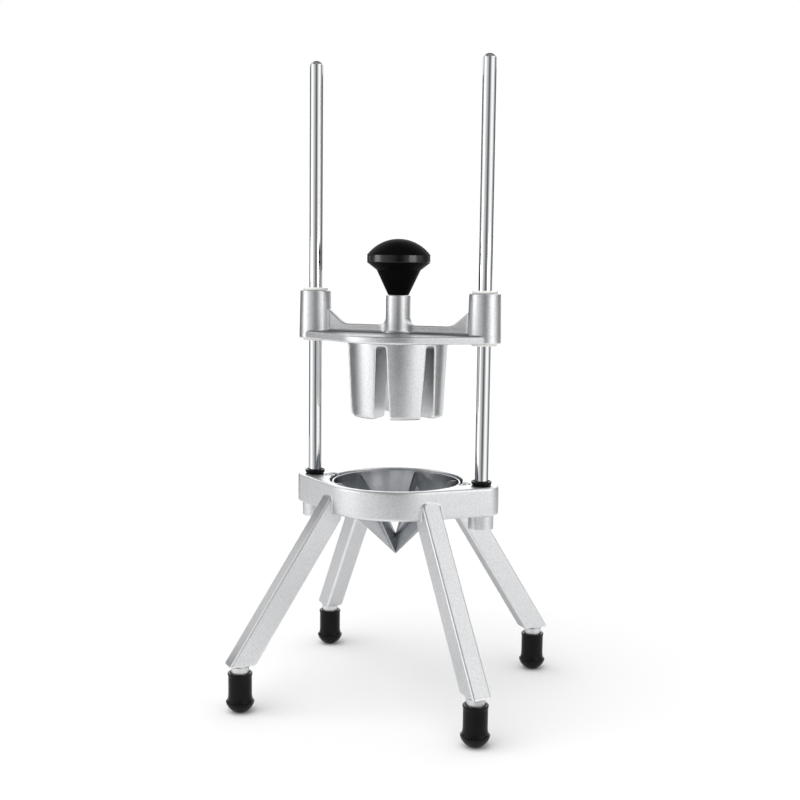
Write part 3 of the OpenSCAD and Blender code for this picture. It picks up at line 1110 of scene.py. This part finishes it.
@dataclass
class GuideRods:
    """Both chromed rods, the screws under them and the rubber cups round their feet."""

    rod_x: float = ROD_X
    rod_r: float = 5.0
    low: float = 143.5
    top: float = 481.2
    dome: float = 3.2
    bore_r: float = 3.05
    bore_top: float = 159.0
    cup_low: float = 166.2
    cup_h: float = 3.2
    cup_in_r: float = 5.05
    cup_foot_r: float = 6.25
    cup_rim_r: float = 7.65
    cup_dish: float = 1.2
    cup_lip: float = 0.6
    cup_round: float = 0.3
    cup_lip_round: float = 0.2
    screw_head_r: float = 5.0
    screw_crown: float = 133.5
    screw_seat: float = 139.5
    screw_r: float = 3.0
    screw_tip: float = 157.5
    key_r: float = 3.0

    def build_rod(self) -> bpy.types.Object:
        """The right-hand rod, with a domed top and a tapped foot.

        Returns:
            The rod.
        """
        dome_r = (self.rod_r**2 + self.dome**2) / (2.0 * self.dome)
        reach = math.degrees(math.asin(self.rod_r / dome_r))
        chamfer = 0.4
        outline = [(0.0, self.bore_top), (self.bore_r, self.bore_top), (self.bore_r, self.low)]
        outline += [(self.rod_r - chamfer, self.low), (self.rod_r, self.low + chamfer)]
        outline += arc((0.0, self.top - dome_r), dome_r, dome_r, 90.0 - reach, 90.0, steps=14)
        rod = lathe("guide_rod", outline, (self.rod_x, 0.0))
        shade(rod)
        return rod

    def build_cup(self) -> bpy.types.Object:
        """The right-hand cup: a narrow foot that flares to a turned-up rim.

        Returns:
            The cup.
        """
        flare_h = self.cup_h - self.cup_lip
        flare_w = self.cup_rim_r - self.cup_foot_r
        flare = arc((self.cup_foot_r, flare_h), flare_w, flare_h, -90.0, 0.0, steps=10)
        outline = [(self.cup_in_r, 0.0)] + flare
        outline += rounded(
            [
                (self.cup_rim_r, flare_h, 0.0), (self.cup_rim_r, self.cup_h, self.cup_round),
                (self.cup_rim_r - self.cup_lip, self.cup_h, self.cup_lip_round),
                (self.cup_in_r, self.cup_h - self.cup_dish, 0.0),
            ]
        )[1:]
        outline.append(outline[0])
        cup = lathe("rod_cup", [(r, self.cup_low + z) for r, z in outline], (self.rod_x, 0.0))
        shade(cup)
        return cup

    def dress(self) -> None:
        """Build rods, screws and cups and put them in place."""
        pieces = [
            (self.build_rod(), "guide_rod", "bar", Slot.CHROME, HARD_CHROME),
            (self.build_cup(), "rod_bumper", "cup", Slot.RUBBER, BLACK_RUBBER),
        ]
        for piece, node, kind, slot, finish in pieces:
            hand_over_pair(piece, self.rod_x, node, kind, Body.STAND, finish)
        head = (self.screw_head_r, self.screw_seat, self.screw_crown)
        shank = (self.screw_r, self.screw_tip, self.key_r)
        screws = [socket_screw("rod_screw", at, *head, *shank) for at in at_sides(self.rod_x)]
        pair = weld_pieces("rod_screw_pair", screws)
        hand_over(pair, ["rod_screws"], Body.STAND, ZINC_STEEL)


@dataclass
class Feet:
    """The four rubber feet."""

    leg_angle: float = LEG_ANGLE
    axis_r: float = 124.608
    height: float = 30.0
    bore_r: float = 6.7
    floor: float = 10.0
    neck_r: float = 8.7
    bulge_r: float = 10.45
    bulge_z: float = 7.6
    neck_z: float = 14.0
    pad_r: float = 2.5
    flare: float = 0.45
    rim_h: float = 2.4
    neck_round: float = 1.0
    rim_round: float = 0.3
    mouth_round: float = 0.2
    edge: float = 0.6
    lead: float = 1.2

    def places(self) -> dict[str, float]:
        """Direction of each foot in degrees."""
        return {
            "front_left": 180.0 + self.leg_angle, "front_right": -self.leg_angle,
            "back_left": 180.0 - self.leg_angle, "back_right": self.leg_angle,
        }

    def build(self) -> bpy.types.Object:
        """A foot along +X: domed pad, bulge, neck and flared rim, with the bore for its stub.

        Returns:
            The foot.
        """
        dome_z = (self.bulge_r**2 + self.bulge_z**2 - self.pad_r**2) / (2.0 * self.bulge_z)
        dome_r = math.hypot(self.pad_r, dome_z)
        flat = math.degrees(math.asin(self.pad_r / dome_r))
        widest = math.degrees(math.acos((dome_z - self.bulge_z) / dome_r))
        outline = [(0.0, 0.0)]
        outline += arc((0.0, dome_z), dome_r, dome_r, flat - 90.0, widest - 90.0, steps=16)
        sweep_h = self.neck_z - self.bulge_z - self.edge
        sweep_w = self.bulge_r - self.neck_r
        outline += arc((self.bulge_r, self.neck_z), sweep_w, sweep_h, 270.0, 180.0, steps=16)
        rim_z = self.height - self.edge
        outline += rounded(
            [
                (self.neck_r, self.neck_z, 0.0), (self.neck_r, rim_z - self.rim_h, self.neck_round),
                (self.neck_r + self.flare, rim_z, self.rim_round), (self.neck_r, self.height, self.rim_round),
                (self.bore_r + self.edge, self.height, self.mouth_round),
                (self.bore_r, self.height - self.lead, 0.0),
            ],
            steps=4,
        )[1:]
        outline += [(self.bore_r, self.floor), (0.0, self.floor)]
        foot = lathe("foot", outline, (self.axis_r, 0.0))
        shade(foot)
        return foot

    def dress(self) -> None:
        """Build the feet and put them in place."""
        foot = self.build()
        for name, angle in self.places().items():
            boot = twin(foot, f"foot_{name}_boot", angle)
            hand_over(boot, [f"foot_{name}"], Body.STAND, BLACK_RUBBER)
        scrap(foot)


@dataclass
class PusherCarriage:
    """The pusher's upper casting and the four bushings in its towers."""

    low: float = 272.3
    plate_top: float = 278.0
    plate_r: float = 50.0
    rod_x: float = ROD_X
    tower_r: float = 11.75
    tower_foot_r: float = 12.5
    tower_top: float = 309.2
    rib_half_t: float = 3.0
    rib_top: float = 284.2
    rib_round: float = 0.8
    gusset_run: float = 12.0
    gusset_top: float = 294.6
    gusset_round: float = 10.0
    stem_r: float = 9.3
    stem_top: float = 306.9
    stem_fillet: float = 5.0
    stem_foot: float = 3.0
    rib_foot: float = 2.6
    edge: float = 0.6
    bore_r: float = 7.1
    stud_r: float = 4.05
    stud_low: float = 291.4
    screw_r: float = 3.05
    screw_top: float = 286.8
    dowel_r: float = 2.05
    dowel_x: float = 22.0
    dowel_top: float = 276.1
    arris: float = 0.8
    plate_round: float = 1.2
    cell: float = 0.5
    passes: int = 5
    keep: float = 0.4
    bush_in_r: float = 5.05
    bush_r: float = 7.05
    bush_len: float = 14.0
    bush_round: float = 0.3
    flange_round: float = 0.2
    flange_r: float = 9.5
    flange_t: float = 1.8

    def build_rib(self) -> bpy.types.Object:
        """The rib along X, with a gusset up to each tower and a fillet up to the stem.

        Returns:
            The rib.
        """
        gusset_x = self.rod_x - self.tower_foot_r
        foot_x = gusset_x - self.gusset_run
        fillet_x = self.stem_r + self.stem_fillet
        fillet_z = self.rib_top + self.stem_fillet
        half = arc((fillet_x, fillet_z), self.stem_fillet, self.stem_fillet, 180.0, 270.0, steps=8)
        half += rounded(
            [
                (fillet_x, self.rib_top, 0.0), (foot_x, self.rib_top, self.gusset_round),
                (gusset_x, self.gusset_top, 0.0), (self.rod_x, self.gusset_top, 0.0),
                (self.rod_x, self.low + OVER, 0.0),
            ]
        )[1:]
        outline = half + [(-x, z) for x, z in reversed(half)]
        points = [Vector((x, -self.rib_half_t, z)) for x, z in outline]
        rib = prism("rib", points, Vector((0.0, 2.0 * self.rib_half_t, 0.0)))
        bevel_edges(rib, self.rib_round)
        return rib

    def build_stem_blend(self) -> bpy.types.Object:
        """The hollow curves that lead the rib into the stem, in plan and upwards.

        Returns:
            The blend.
        """
        reach = self.stem_r + self.stem_fillet
        low = self.low + OVER
        crown = self.rib_top + self.stem_fillet
        outline = [(0.0, low), (reach, low)]
        outline += arc((reach, crown), self.stem_fillet, self.stem_fillet, 270.0, 180.0, steps=8)
        blend = lathe("stem_blend", outline + [(0.0, crown)])
        # The hollow touches both the rib's side and the stem
        gap = reach**2 + self.rib_half_t**2 - self.stem_r**2
        hollow_r = gap / (2.0 * (self.stem_r - self.rib_half_t))
        centre = (reach, self.rib_half_t + hollow_r)
        end = 180.0 + math.degrees(math.atan2(centre[1], centre[0]))
        side = arc(centre, hollow_r, hollow_r, 270.0, end, steps=10)
        plan = side + [(-x, y) for x, y in reversed(side)]
        plan += [(-x, -y) for x, y in plan]
        combine(blend, upright_prism("stem_hollow", plan, low - OVER, crown + OVER), Join.INTERSECT)
        return blend

    def build_rib_foot(self) -> bpy.types.Object:
        """The fillet along both sides of the rib's foot.

        Returns:
            The fillet.
        """
        side_y = self.rib_half_t + self.rib_foot
        side_z = self.plate_top + self.rib_foot
        side = arc((side_y, side_z), self.rib_foot, self.rib_foot, 180.0, 270.0, steps=8)
        side.append((side_y, self.plate_top - OVER))
        section = side + [(-y, z) for y, z in reversed(side)]
        points = [Vector((-self.rod_x, y, z)) for y, z in section]
        return prism("rib_foot", points, Vector((2.0 * self.rod_x, 0.0, 0.0)))

    def build(self) -> bpy.types.Object:
        """The whole casting.

        Returns:
            The casting, with soft arrises.
        """
        plan = lens_outline(self.plate_r, self.tower_r, self.rod_x)
        casting = upright_prism("carriage_casting", plan, self.low, self.plate_top)
        bevel_edges(casting, self.plate_round)
        rods = at_sides(self.rod_x)
        tower = rounded(
            [
                (0.0, self.low, 0.0), (self.tower_foot_r, self.low, self.arris),
                (self.tower_r, self.tower_top, self.arris), (0.0, self.tower_top, 0.0),
            ]
        )
        for at in rods:
            combine(casting, lathe("tower", tower, at), Join.UNION)
        combine(casting, self.build_rib(), Join.UNION)
        combine(casting, self.build_rib_foot(), Join.UNION)
        flare_r = self.stem_r + self.stem_foot
        stem = [(0.0, self.low + OVER), (flare_r, self.low + OVER)]
        flare_z = self.plate_top + self.stem_foot
        stem += arc((flare_r, flare_z), self.stem_foot, self.stem_foot, 270.0, 180.0, steps=8)
        stem += [(self.stem_r, self.stem_top - self.edge), (self.stem_r - self.edge, self.stem_top)]
        stem.append((0.0, self.stem_top))
        combine(casting, lathe("stem", stem), Join.UNION)
        combine(casting, self.build_stem_blend(), Join.UNION)
        cuts = [pin("bush_bore", self.bore_r, self.low - OVER, self.tower_top + OVER, at) for at in rods]
        cuts.append(pin("stud_bore", self.stud_r, self.stud_low, self.stem_top + OVER))
        cuts.append(pin("screw_bore", self.screw_r, self.low - OVER, self.screw_top))
        for at in at_sides(self.dowel_x):
            cuts.append(pin("dowel_bore", self.dowel_r, self.low - OVER, self.dowel_top, at))
        cut_out(casting, cuts)
        cast_skin(casting, 0.0, self.cell, self.passes, self.keep)
        return casting

    def build_bushing(self, upper: bool) -> bpy.types.Object:
        """The right-hand bushing in a tower's upper or lower mouth.

        Args:
            upper: Whether it is the upper one.

        Returns:
            The bushing.
        """
        seat = self.tower_top if upper else self.low
        sign = 1.0 if upper else -1.0
        outline = rounded(
            [
                (self.bush_in_r, -self.bush_len, 0.0), (self.bush_r, -self.bush_len, self.bush_round),
                (self.bush_r, 0.0, 0.0), (self.flange_r, 0.0, self.flange_round),
                (self.flange_r, self.flange_t, self.edge), (self.bush_in_r, self.flange_t, self.flange_round),
            ],
            closed=True,
        )
        bushing = lathe("bushing", [(r, seat + sign * z) for r, z in outline], (self.rod_x, 0.0))
        shade(bushing)
        return bushing

    def dress(self) -> None:
        """Build the casting and the bushings and put them in place."""
        hand_over(self.build(), ["pusher_carriage"], Body.PUSHER, CAST_ALUMINIUM)
        for end in ("upper", "lower"):
            bushing = self.build_bushing(end == "upper")
            hand_over_pair(
                bushing, self.rod_x, f"bushing_{end}", "sleeve", Body.PUSHER, WHITE_NYLON
            )


@dataclass
class FingerBlock:
    """The pusher's lower casting with its fingers, and the screw that holds it."""

    low: float = 215.6
    top: float = 272.3
    end_r: float = 35.0
    top_r: float = 37.8
    end_round: float = 2.0
    roof: float = 269.8
    slot_top_half: float = 3.75
    slot_end_half: float = 6.0
    slot_round: float = 2.0
    slots: int = 3
    screw_hole_r: float = 3.3
    seat_r: float = 5.8
    head_r: float = 5.5
    head_h: float = 4.0
    screw_r: float = 3.0
    screw_tip: float = 285.3
    key_r: float = 3.0
    dowel_r: float = 2.05
    dowel_x: float = 22.0
    dowel_low: float = 264.3
    edge: float = 0.9
    cell: float = 0.5
    passes: int = 5
    keep: float = 0.35

    def build_slot(self) -> bpy.types.Object:
        """One slot right across the block along Y, to be cut out.

        Returns:
            The slot's solid.
        """
        flare = (self.slot_end_half - self.slot_top_half) / (self.roof - self.low)
        low_half = self.slot_end_half + flare * OVER
        section = rounded(
            [
                (-low_half, self.low - OVER, 0.0), (low_half, self.low - OVER, 0.0),
                (self.slot_top_half, self.roof, self.slot_round),
                (-self.slot_top_half, self.roof, self.slot_round),
            ]
        )
        reach = 2.0 * self.top_r
        points = [Vector((x, -reach, z)) for x, z in section]
        return prism("finger_slot", points, Vector((0.0, 2.0 * reach, 0.0)))

    def build(self) -> bpy.types.Object:
        """The whole casting.

        Returns:
            The casting, with soft arrises.
        """
        outline = rounded(
            [
                (0.0, self.low, 0.0), (self.end_r, self.low, self.end_round),
                (self.top_r, self.top, 0.0), (0.0, self.top, 0.0),
            ]
        )
        casting = lathe("finger_casting", outline)
        angles = [i * 180.0 / self.slots for i in range(self.slots)]
        combine_round(casting, self.build_slot(), angles, Join.DIFFERENCE)
        cuts = [
            pin("screw_hole", self.screw_hole_r, self.roof - OVER, self.top + OVER),
            pin("head_seat", self.seat_r, self.roof - self.head_h - OVER, self.roof),
        ]
        for at in at_sides(self.dowel_x):
            cuts.append(pin("dowel_bore", self.dowel_r, self.dowel_low, self.top + OVER, at))
        cut_out(casting, cuts)
        cast_skin(casting, self.edge, self.cell, self.passes, self.keep)
        return casting

    def dress(self) -> None:
        """Build the casting and its screw and put them in place."""
        hand_over(self.build(), ["finger_block"], Body.PUSHER, TUMBLED_ALUMINIUM)
        screw = socket_screw(
            "finger_block_cap_screw", (0.0, 0.0), self.head_r, self.roof, self.roof - self.head_h,
            self.screw_r, self.screw_tip, self.key_r,
        )
        hand_over(screw, ["finger_block_screw"], Body.PUSHER, ZINC_STEEL)


@dataclass
class Knob:
    """The mushroom knob in the hand."""

    low: float = 306.9
    foot_r: float = 7.9
    neck_r: float = 16.5
    neck_h: float = 18.3
    slope_h: float = 5.8
    band_r: float = 24.0
    band_h: float = 5.3
    dome_h: float = 12.2
    bore_r: float = 4.05
    bore_h: float = 16.5
    soft: float = 0.8

    def build(self) -> bpy.types.Object:
        """The knob: a neck that widens upwards, a straight band and a low dome.

        Returns:
            The knob.
        """
        band_low = self.neck_h + self.slope_h
        band_top = band_low + self.band_h
        crown = band_top + self.dome_h
        dome_r = (self.band_r**2 + self.dome_h**2) / (2.0 * self.dome_h)
        reach = math.degrees(math.asin(self.band_r / dome_r))
        dome = arc((0.0, crown - dome_r), dome_r, dome_r, 90.0 - reach, 90.0, steps=28)
        side = rounded(
            [
                (self.bore_r, 0.0, 0.0), (self.foot_r, 0.0, self.soft / 2.0),
                (self.neck_r, self.neck_h, 2.0 * self.soft), (self.band_r, band_low, self.soft),
                (self.band_r, band_top, self.soft / 2.0), (*dome[1], 0.0),
            ]
        )
        outline = [(0.0, self.bore_h), (self.bore_r, self.bore_h)] + side + dome[2:]
        knob = lathe("knob_moulding", [(r, self.low + z) for r, z in outline], steps=128)
        shade(knob, angle=50.0)
        return knob

    def dress(self) -> None:
        """Build the knob and put it in place."""
        knob = hand_over(self.build(), ["knob"], Body.PUSHER, POLISHED_PHENOLIC)
        knob.data.materials.append(SATIN_PHENOLIC.material())
        band_low = self.low + self.neck_h + self.slope_h
        for face in knob.data.polygons:
            on_band = band_low < face.center.z / MM < band_low + self.band_h
            face.material_index = 0 if on_band else 1


def dress_hidden(nodes: dict[str, bpy.types.Object]) -> None:
    """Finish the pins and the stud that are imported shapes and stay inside.

    Args:
        nodes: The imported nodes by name.
    """
    for name in ("finger_block_dowels", "knob_stud"):
        mesh = nodes[name].data
        mesh.materials.clear()
        mesh.materials.append(ZINC_STEEL.material())
        LOG.info("%s: kept as packed", name)


# Studio


@dataclass
class PhotoCamera:
    """The camera, where the photograph was taken from."""

    azimuth: float = 19.16
    elevation: float = 6.64
    roll: float = 0.68
    distance: float = 912.7
    target: tuple[float, float, float] = (2.04, 0.71, 227.0)
    lens: float = 54.0
    sensor: float = 36.0

    def build(self) -> None:
        """Add the camera and make it the scene's."""
        az = math.radians(self.azimuth)
        el = math.radians(self.elevation)
        back = Vector((math.sin(az) * math.cos(el), -math.cos(az) * math.cos(el), math.sin(el)))
        right = (-back).cross(UP).normalized()
        up = right.cross(-back)
        turn = math.radians(self.roll)
        x_axis = right * math.cos(turn) + up * math.sin(turn)
        y_axis = up * math.cos(turn) - right * math.sin(turn)
        data = bpy.data.cameras.new("photo_camera")
        data.lens = self.lens
        data.sensor_width = self.sensor
        data.sensor_fit = "HORIZONTAL"
        data.clip_end = 100.0
        camera = bpy.data.objects.new("photo_camera", data)
        bpy.context.scene.collection.objects.link(camera)
        place = (Vector(self.target) + back * self.distance) * MM
        basis = Matrix((x_axis, y_axis, back)).transposed().to_4x4()
        camera.matrix_world = Matrix.Translation(place) @ basis
        bpy.context.scene.camera = camera


@dataclass
class Studio:
    """White floor and room, a soft lamp, and grey cards that only reflections see."""

    floor_size: float = 24000.0
    floor_colour: str = "#f6f6f6"
    room_level: float = 0.72
    white_level: float = 1.0
    sun_level: float = 1.5
    sun_angle: float = 70.0
    sun_turn: Point2 = (24.0, -16.0)
    card_lift: float = 3.0
    card_step: float = 3.0
    card_in_r: float = 850.0
    card_r: float = 1500.0
    card_h: float = 310.0
    wall_levels: tuple[Point2, ...] = (
        (-180.0, 2.2), (-148.0, 2.0), (-136.0, 0.25), (-112.0, 0.15), (-98.0, 0.22), (-86.0, 0.42),
        (-76.0, 1.0), (-68.0, 1.5), (-48.0, 1.45), (-33.0, 0.9), (-12.0, 0.62), (5.0, 0.38),
        (15.0, 0.14), (25.0, 0.1), (36.0, 0.34), (49.0, 0.78), (60.0, 1.1), (82.0, 1.2), (92.0, 1.1),
        (102.0, 0.76), (114.0, 0.42), (126.0, 0.22), (147.0, 0.2), (157.0, 1.8), (180.0, 2.2),
    )
    front_h: float = 950.0
    front_from: float = -106.0
    front_to: float = 146.0
    sweep_h: float = 700.0
    sweep_turn: Point2 = (184.0, 214.0)
    sweep_level: float = 4.5
    dark_level: float = 0.2
    back_h: float = 1900.0
    back_turn: Point2 = (150.0, 248.0)
    back_level: float = 2.0
    apron_in_r: float = 160.0
    apron_r: float = 340.0
    apron_turn: Point2 = (30.0, 75.0)
    apron_level: float = 0.62
    near_r: float = 175.0
    near_low: float = 45.0
    near_h: float = 180.0
    near_turn: Point2 = (-97.0, -66.0)
    near_level: float = 0.95
    brow_h: float = 2000.0
    brow_level: float = 0.36
    right_h: float = 2600.0
    right_turn: Point2 = (50.0, 112.0)
    right_level: float = 1.25
    strip_r: float = 1480.0
    strip_low: float = 290.0
    strip_h: float = 370.0
    strip_left: Point2 = (-74.0, -50.0)
    strip_right: Point2 = (57.0, 84.0)
    strip_level: float = 6.0
    ceiling_z: float = 1600.0
    ceiling_w: float = 1800.0
    ceiling_d: float = 2600.0
    ceiling_y: float = 100.0
    ceiling_level: float = 0.25

    def build_world(self) -> None:
        """A white room for the eye and for reflections, at a plain level for soft light."""
        world = bpy.data.worlds.new("white_room")
        bpy.context.scene.world = world
        world.use_nodes = True
        tree = world.node_tree
        tree.nodes.clear()
        path = add_node(tree, "ShaderNodeLightPath").outputs
        seen = path["Is Camera Ray"]
        for name in ("Is Glossy Ray", "Is Transmission Ray"):
            either = add_node(tree, "ShaderNodeMath", {"operation": "MAXIMUM"}, seen, path[name])
            seen = either.outputs["Value"]
        shades = []
        for level in (self.room_level, self.white_level):
            room = add_node(tree, "ShaderNodeBackground", Color=linear(WHITE), Strength=level)
            shades.append(room.outputs["Background"])
        mix = add_node(tree, "ShaderNodeMixShader", None, seen, *shades)
        add_node(tree, "ShaderNodeOutputWorld", Surface=mix.outputs["Shader"])

    def build_floor(self) -> None:
        """A plain white floor that keeps the cutter's shadow."""
        put_down()
        bpy.ops.mesh.primitive_plane_add(size=self.floor_size * MM)
        floor = christen("studio_floor")
        material, tree = new_material("studio_floor_white")
        paint = add_node(tree, "ShaderNodeBsdfDiffuse", Color=linear(self.floor_colour))
        add_node(tree, "ShaderNodeOutputMaterial", Surface=paint.outputs["BSDF"])
        floor.data.materials.append(material)

    def card_material(self, name: str, levels: Sequence[Point2]) -> bpy.types.Material:
        """A card that is shaded round the cutter.

        Args:
            name: The material's name.
            levels: Directions from the front towards +X in degrees, and how bright the card is there.

        Returns:
            The card's material.
        """
        material, tree = new_material(name)
        place = add_node(tree, "ShaderNodeTexCoord").outputs["Object"]
        # The radial gradient counts turns from -X, so the cards are turned to start behind the cutter
        turned = add_node(tree, "ShaderNodeMapping", Vector=place, Rotation=(0.0, 0.0, math.pi / 2.0))
        radial = {"gradient_type": "RADIAL"}
        around = add_node(tree, "ShaderNodeTexGradient", radial, Vector=turned.outputs["Vector"])
        ramp = add_node(tree, "ShaderNodeValToRGB", Fac=around.outputs["Fac"])
        stops = [((angle + 180.0) / 360.0, (level, level, level, 1.0)) for angle, level in levels]
        set_ramp(ramp, stops)
        glow = add_node(tree, "ShaderNodeEmission", Color=ramp.outputs["Color"], Strength=1.0)
        add_node(tree, "ShaderNodeOutputMaterial", Surface=glow.outputs["Emission"])
        return material

    def plain_card_material(self, name: str, level: float) -> bpy.types.Material:
        """A card of one brightness.

        Args:
            name: The material's name.
            level: Its brightness.

        Returns:
            The card's material.
        """
        material, tree = new_material(name)
        glow = add_node(tree, "ShaderNodeEmission", Color=linear(WHITE), Strength=level)
        add_node(tree, "ShaderNodeOutputMaterial", Surface=glow.outputs["Emission"])
        return material

    def build_cards(self) -> None:
        """Shaded cards all round, a white sweep behind and a dark ceiling, for reflections alone."""
        plain = {
            "sweep": self.sweep_level, "high": self.back_level, "near": self.near_level,
            "right": self.right_level, "brow": self.brow_level, "dark": self.dark_level,
            "apron": self.apron_level, "strip": self.strip_level, "ceiling": self.ceiling_level,
        }
        paints = {name: self.plain_card_material(f"studio_card_{name}", plain[name]) for name in plain}
        paints["wall"] = self.card_material("studio_card_wall", self.wall_levels)
        lift = self.card_lift
        far = self.card_r
        strip = [(self.strip_r, self.strip_low), (self.strip_r, self.strip_h)]
        behind = [(far, self.card_h), (far, self.sweep_h)]
        brow_turn = (self.front_from, self.right_turn[0])
        # Near lights the front left leg, the strips light towers and stem, and brow keeps upper edges dark
        cards = [
            ("low", [(self.card_in_r, lift), (far, lift), (far, self.card_h)], (0.0, 360.0), "wall"),
            ("front", [(far, self.card_h), (far, self.front_h)], (self.front_from, self.front_to), "wall"),
            ("flank_right", behind, (self.front_to, self.sweep_turn[0]), "dark"),
            ("sweep", behind, self.sweep_turn, "sweep"),
            ("flank_left", behind, (self.sweep_turn[1], self.front_from + 360.0), "dark"),
            ("high", [(far, self.sweep_h), (far, self.back_h)], self.back_turn, "high"),
            ("brow", [(far, self.front_h), (far, self.brow_h)], brow_turn, "brow"),
            ("right", [(far, self.front_h), (far, self.right_h)], self.right_turn, "right"),
            ("near", [(self.near_r, self.near_low), (self.near_r, self.near_h)], self.near_turn, "near"),
            ("apron", [(self.apron_in_r, lift), (self.apron_r, lift)], self.apron_turn, "apron"),
            ("strip_left", strip, self.strip_left, "strip"),
            ("strip_right", strip, self.strip_right, "strip"),
        ]
        pieces = []
        for name, outline, turn, paint in cards:
            pieces.append((self.spin_card(f"studio_card_{name}", outline, *turn), paints[paint]))
        put_down()
        middle = Vector((0.0, self.ceiling_y, self.ceiling_z)) * MM
        bpy.ops.mesh.primitive_plane_add(size=1.0, location=middle)
        ceiling = bpy.context.view_layer.objects.active
        ceiling.scale = (self.ceiling_w * MM, self.ceiling_d * MM, 1.0)
        ceiling = christen("studio_card_ceiling")
        pieces.append((ceiling, paints["ceiling"]))
        for card, material in pieces:
            card.data.materials.append(material)
            card.visible_camera = False
            card.visible_diffuse = False
            card.visible_shadow = False
            card.visible_transmission = False

    def spin_card(self, name: str, outline: Sequence[Point2], start: float, end: float) -> bpy.types.Object:
        """A card spun from its outline.

        Args:
            name: The card's name.
            outline: Radius and height of each point.
            start: First direction from the front towards +X, in degrees.
            end: Last direction.

        Returns:
            The card.
        """
        first = math.radians(start - 90.0)
        spoke = Vector((math.cos(first), math.sin(first), 0.0))
        card = wire(name, [spoke * r + UP * z for r, z in outline])
        open_mesh(card)
        steps = max(2, round((end - start) / self.card_step))
        # The spin tool turns clockwise, so the angle is counted backwards
        angle = -math.radians(end - start)
        bpy.ops.mesh.spin(steps=steps, angle=angle, center=(0.0, 0.0, 0.0), axis=(0.0, 0.0, 1.0))
        close_mesh()
        return card

    def build_sun(self) -> None:
        """A wide soft lamp from above the left shoulder, kept out of reflections."""
        data = bpy.data.lights.new("soft_top_lamp", "SUN")
        data.energy = self.sun_level
        data.angle = math.radians(self.sun_angle)
        lamp = bpy.data.objects.new("soft_top_lamp", data)
        bpy.context.scene.collection.objects.link(lamp)
        lamp.rotation_euler = (*map(math.radians, self.sun_turn), 0.0)
        lamp.visible_glossy = False

    def build(self) -> None:
        """Set up the whole studio."""
        settings = bpy.context.scene.view_settings
        settings.view_transform = "Standard"
        self.build_world()
        self.build_floor()
        self.build_cards()
        self.build_sun()


def main() -> None:
    """Build the cutter's pieces in order, dress them and set up the studio."""
    logging.basicConfig(level=logging.INFO, format="%(name)s: %(message)s")
    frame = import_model()
    PhotoCamera().build()
    Studio().build()
    CastStand().dress()
    BladeRing().dress()
    GuideRods().dress()
    Feet().dress()
    PusherCarriage().dress()
    FingerBlock().dress()
    Knob().dress()
    dress_hidden(frame["nodes"])
    put_down()


if __name__ == "__main__":
    main()
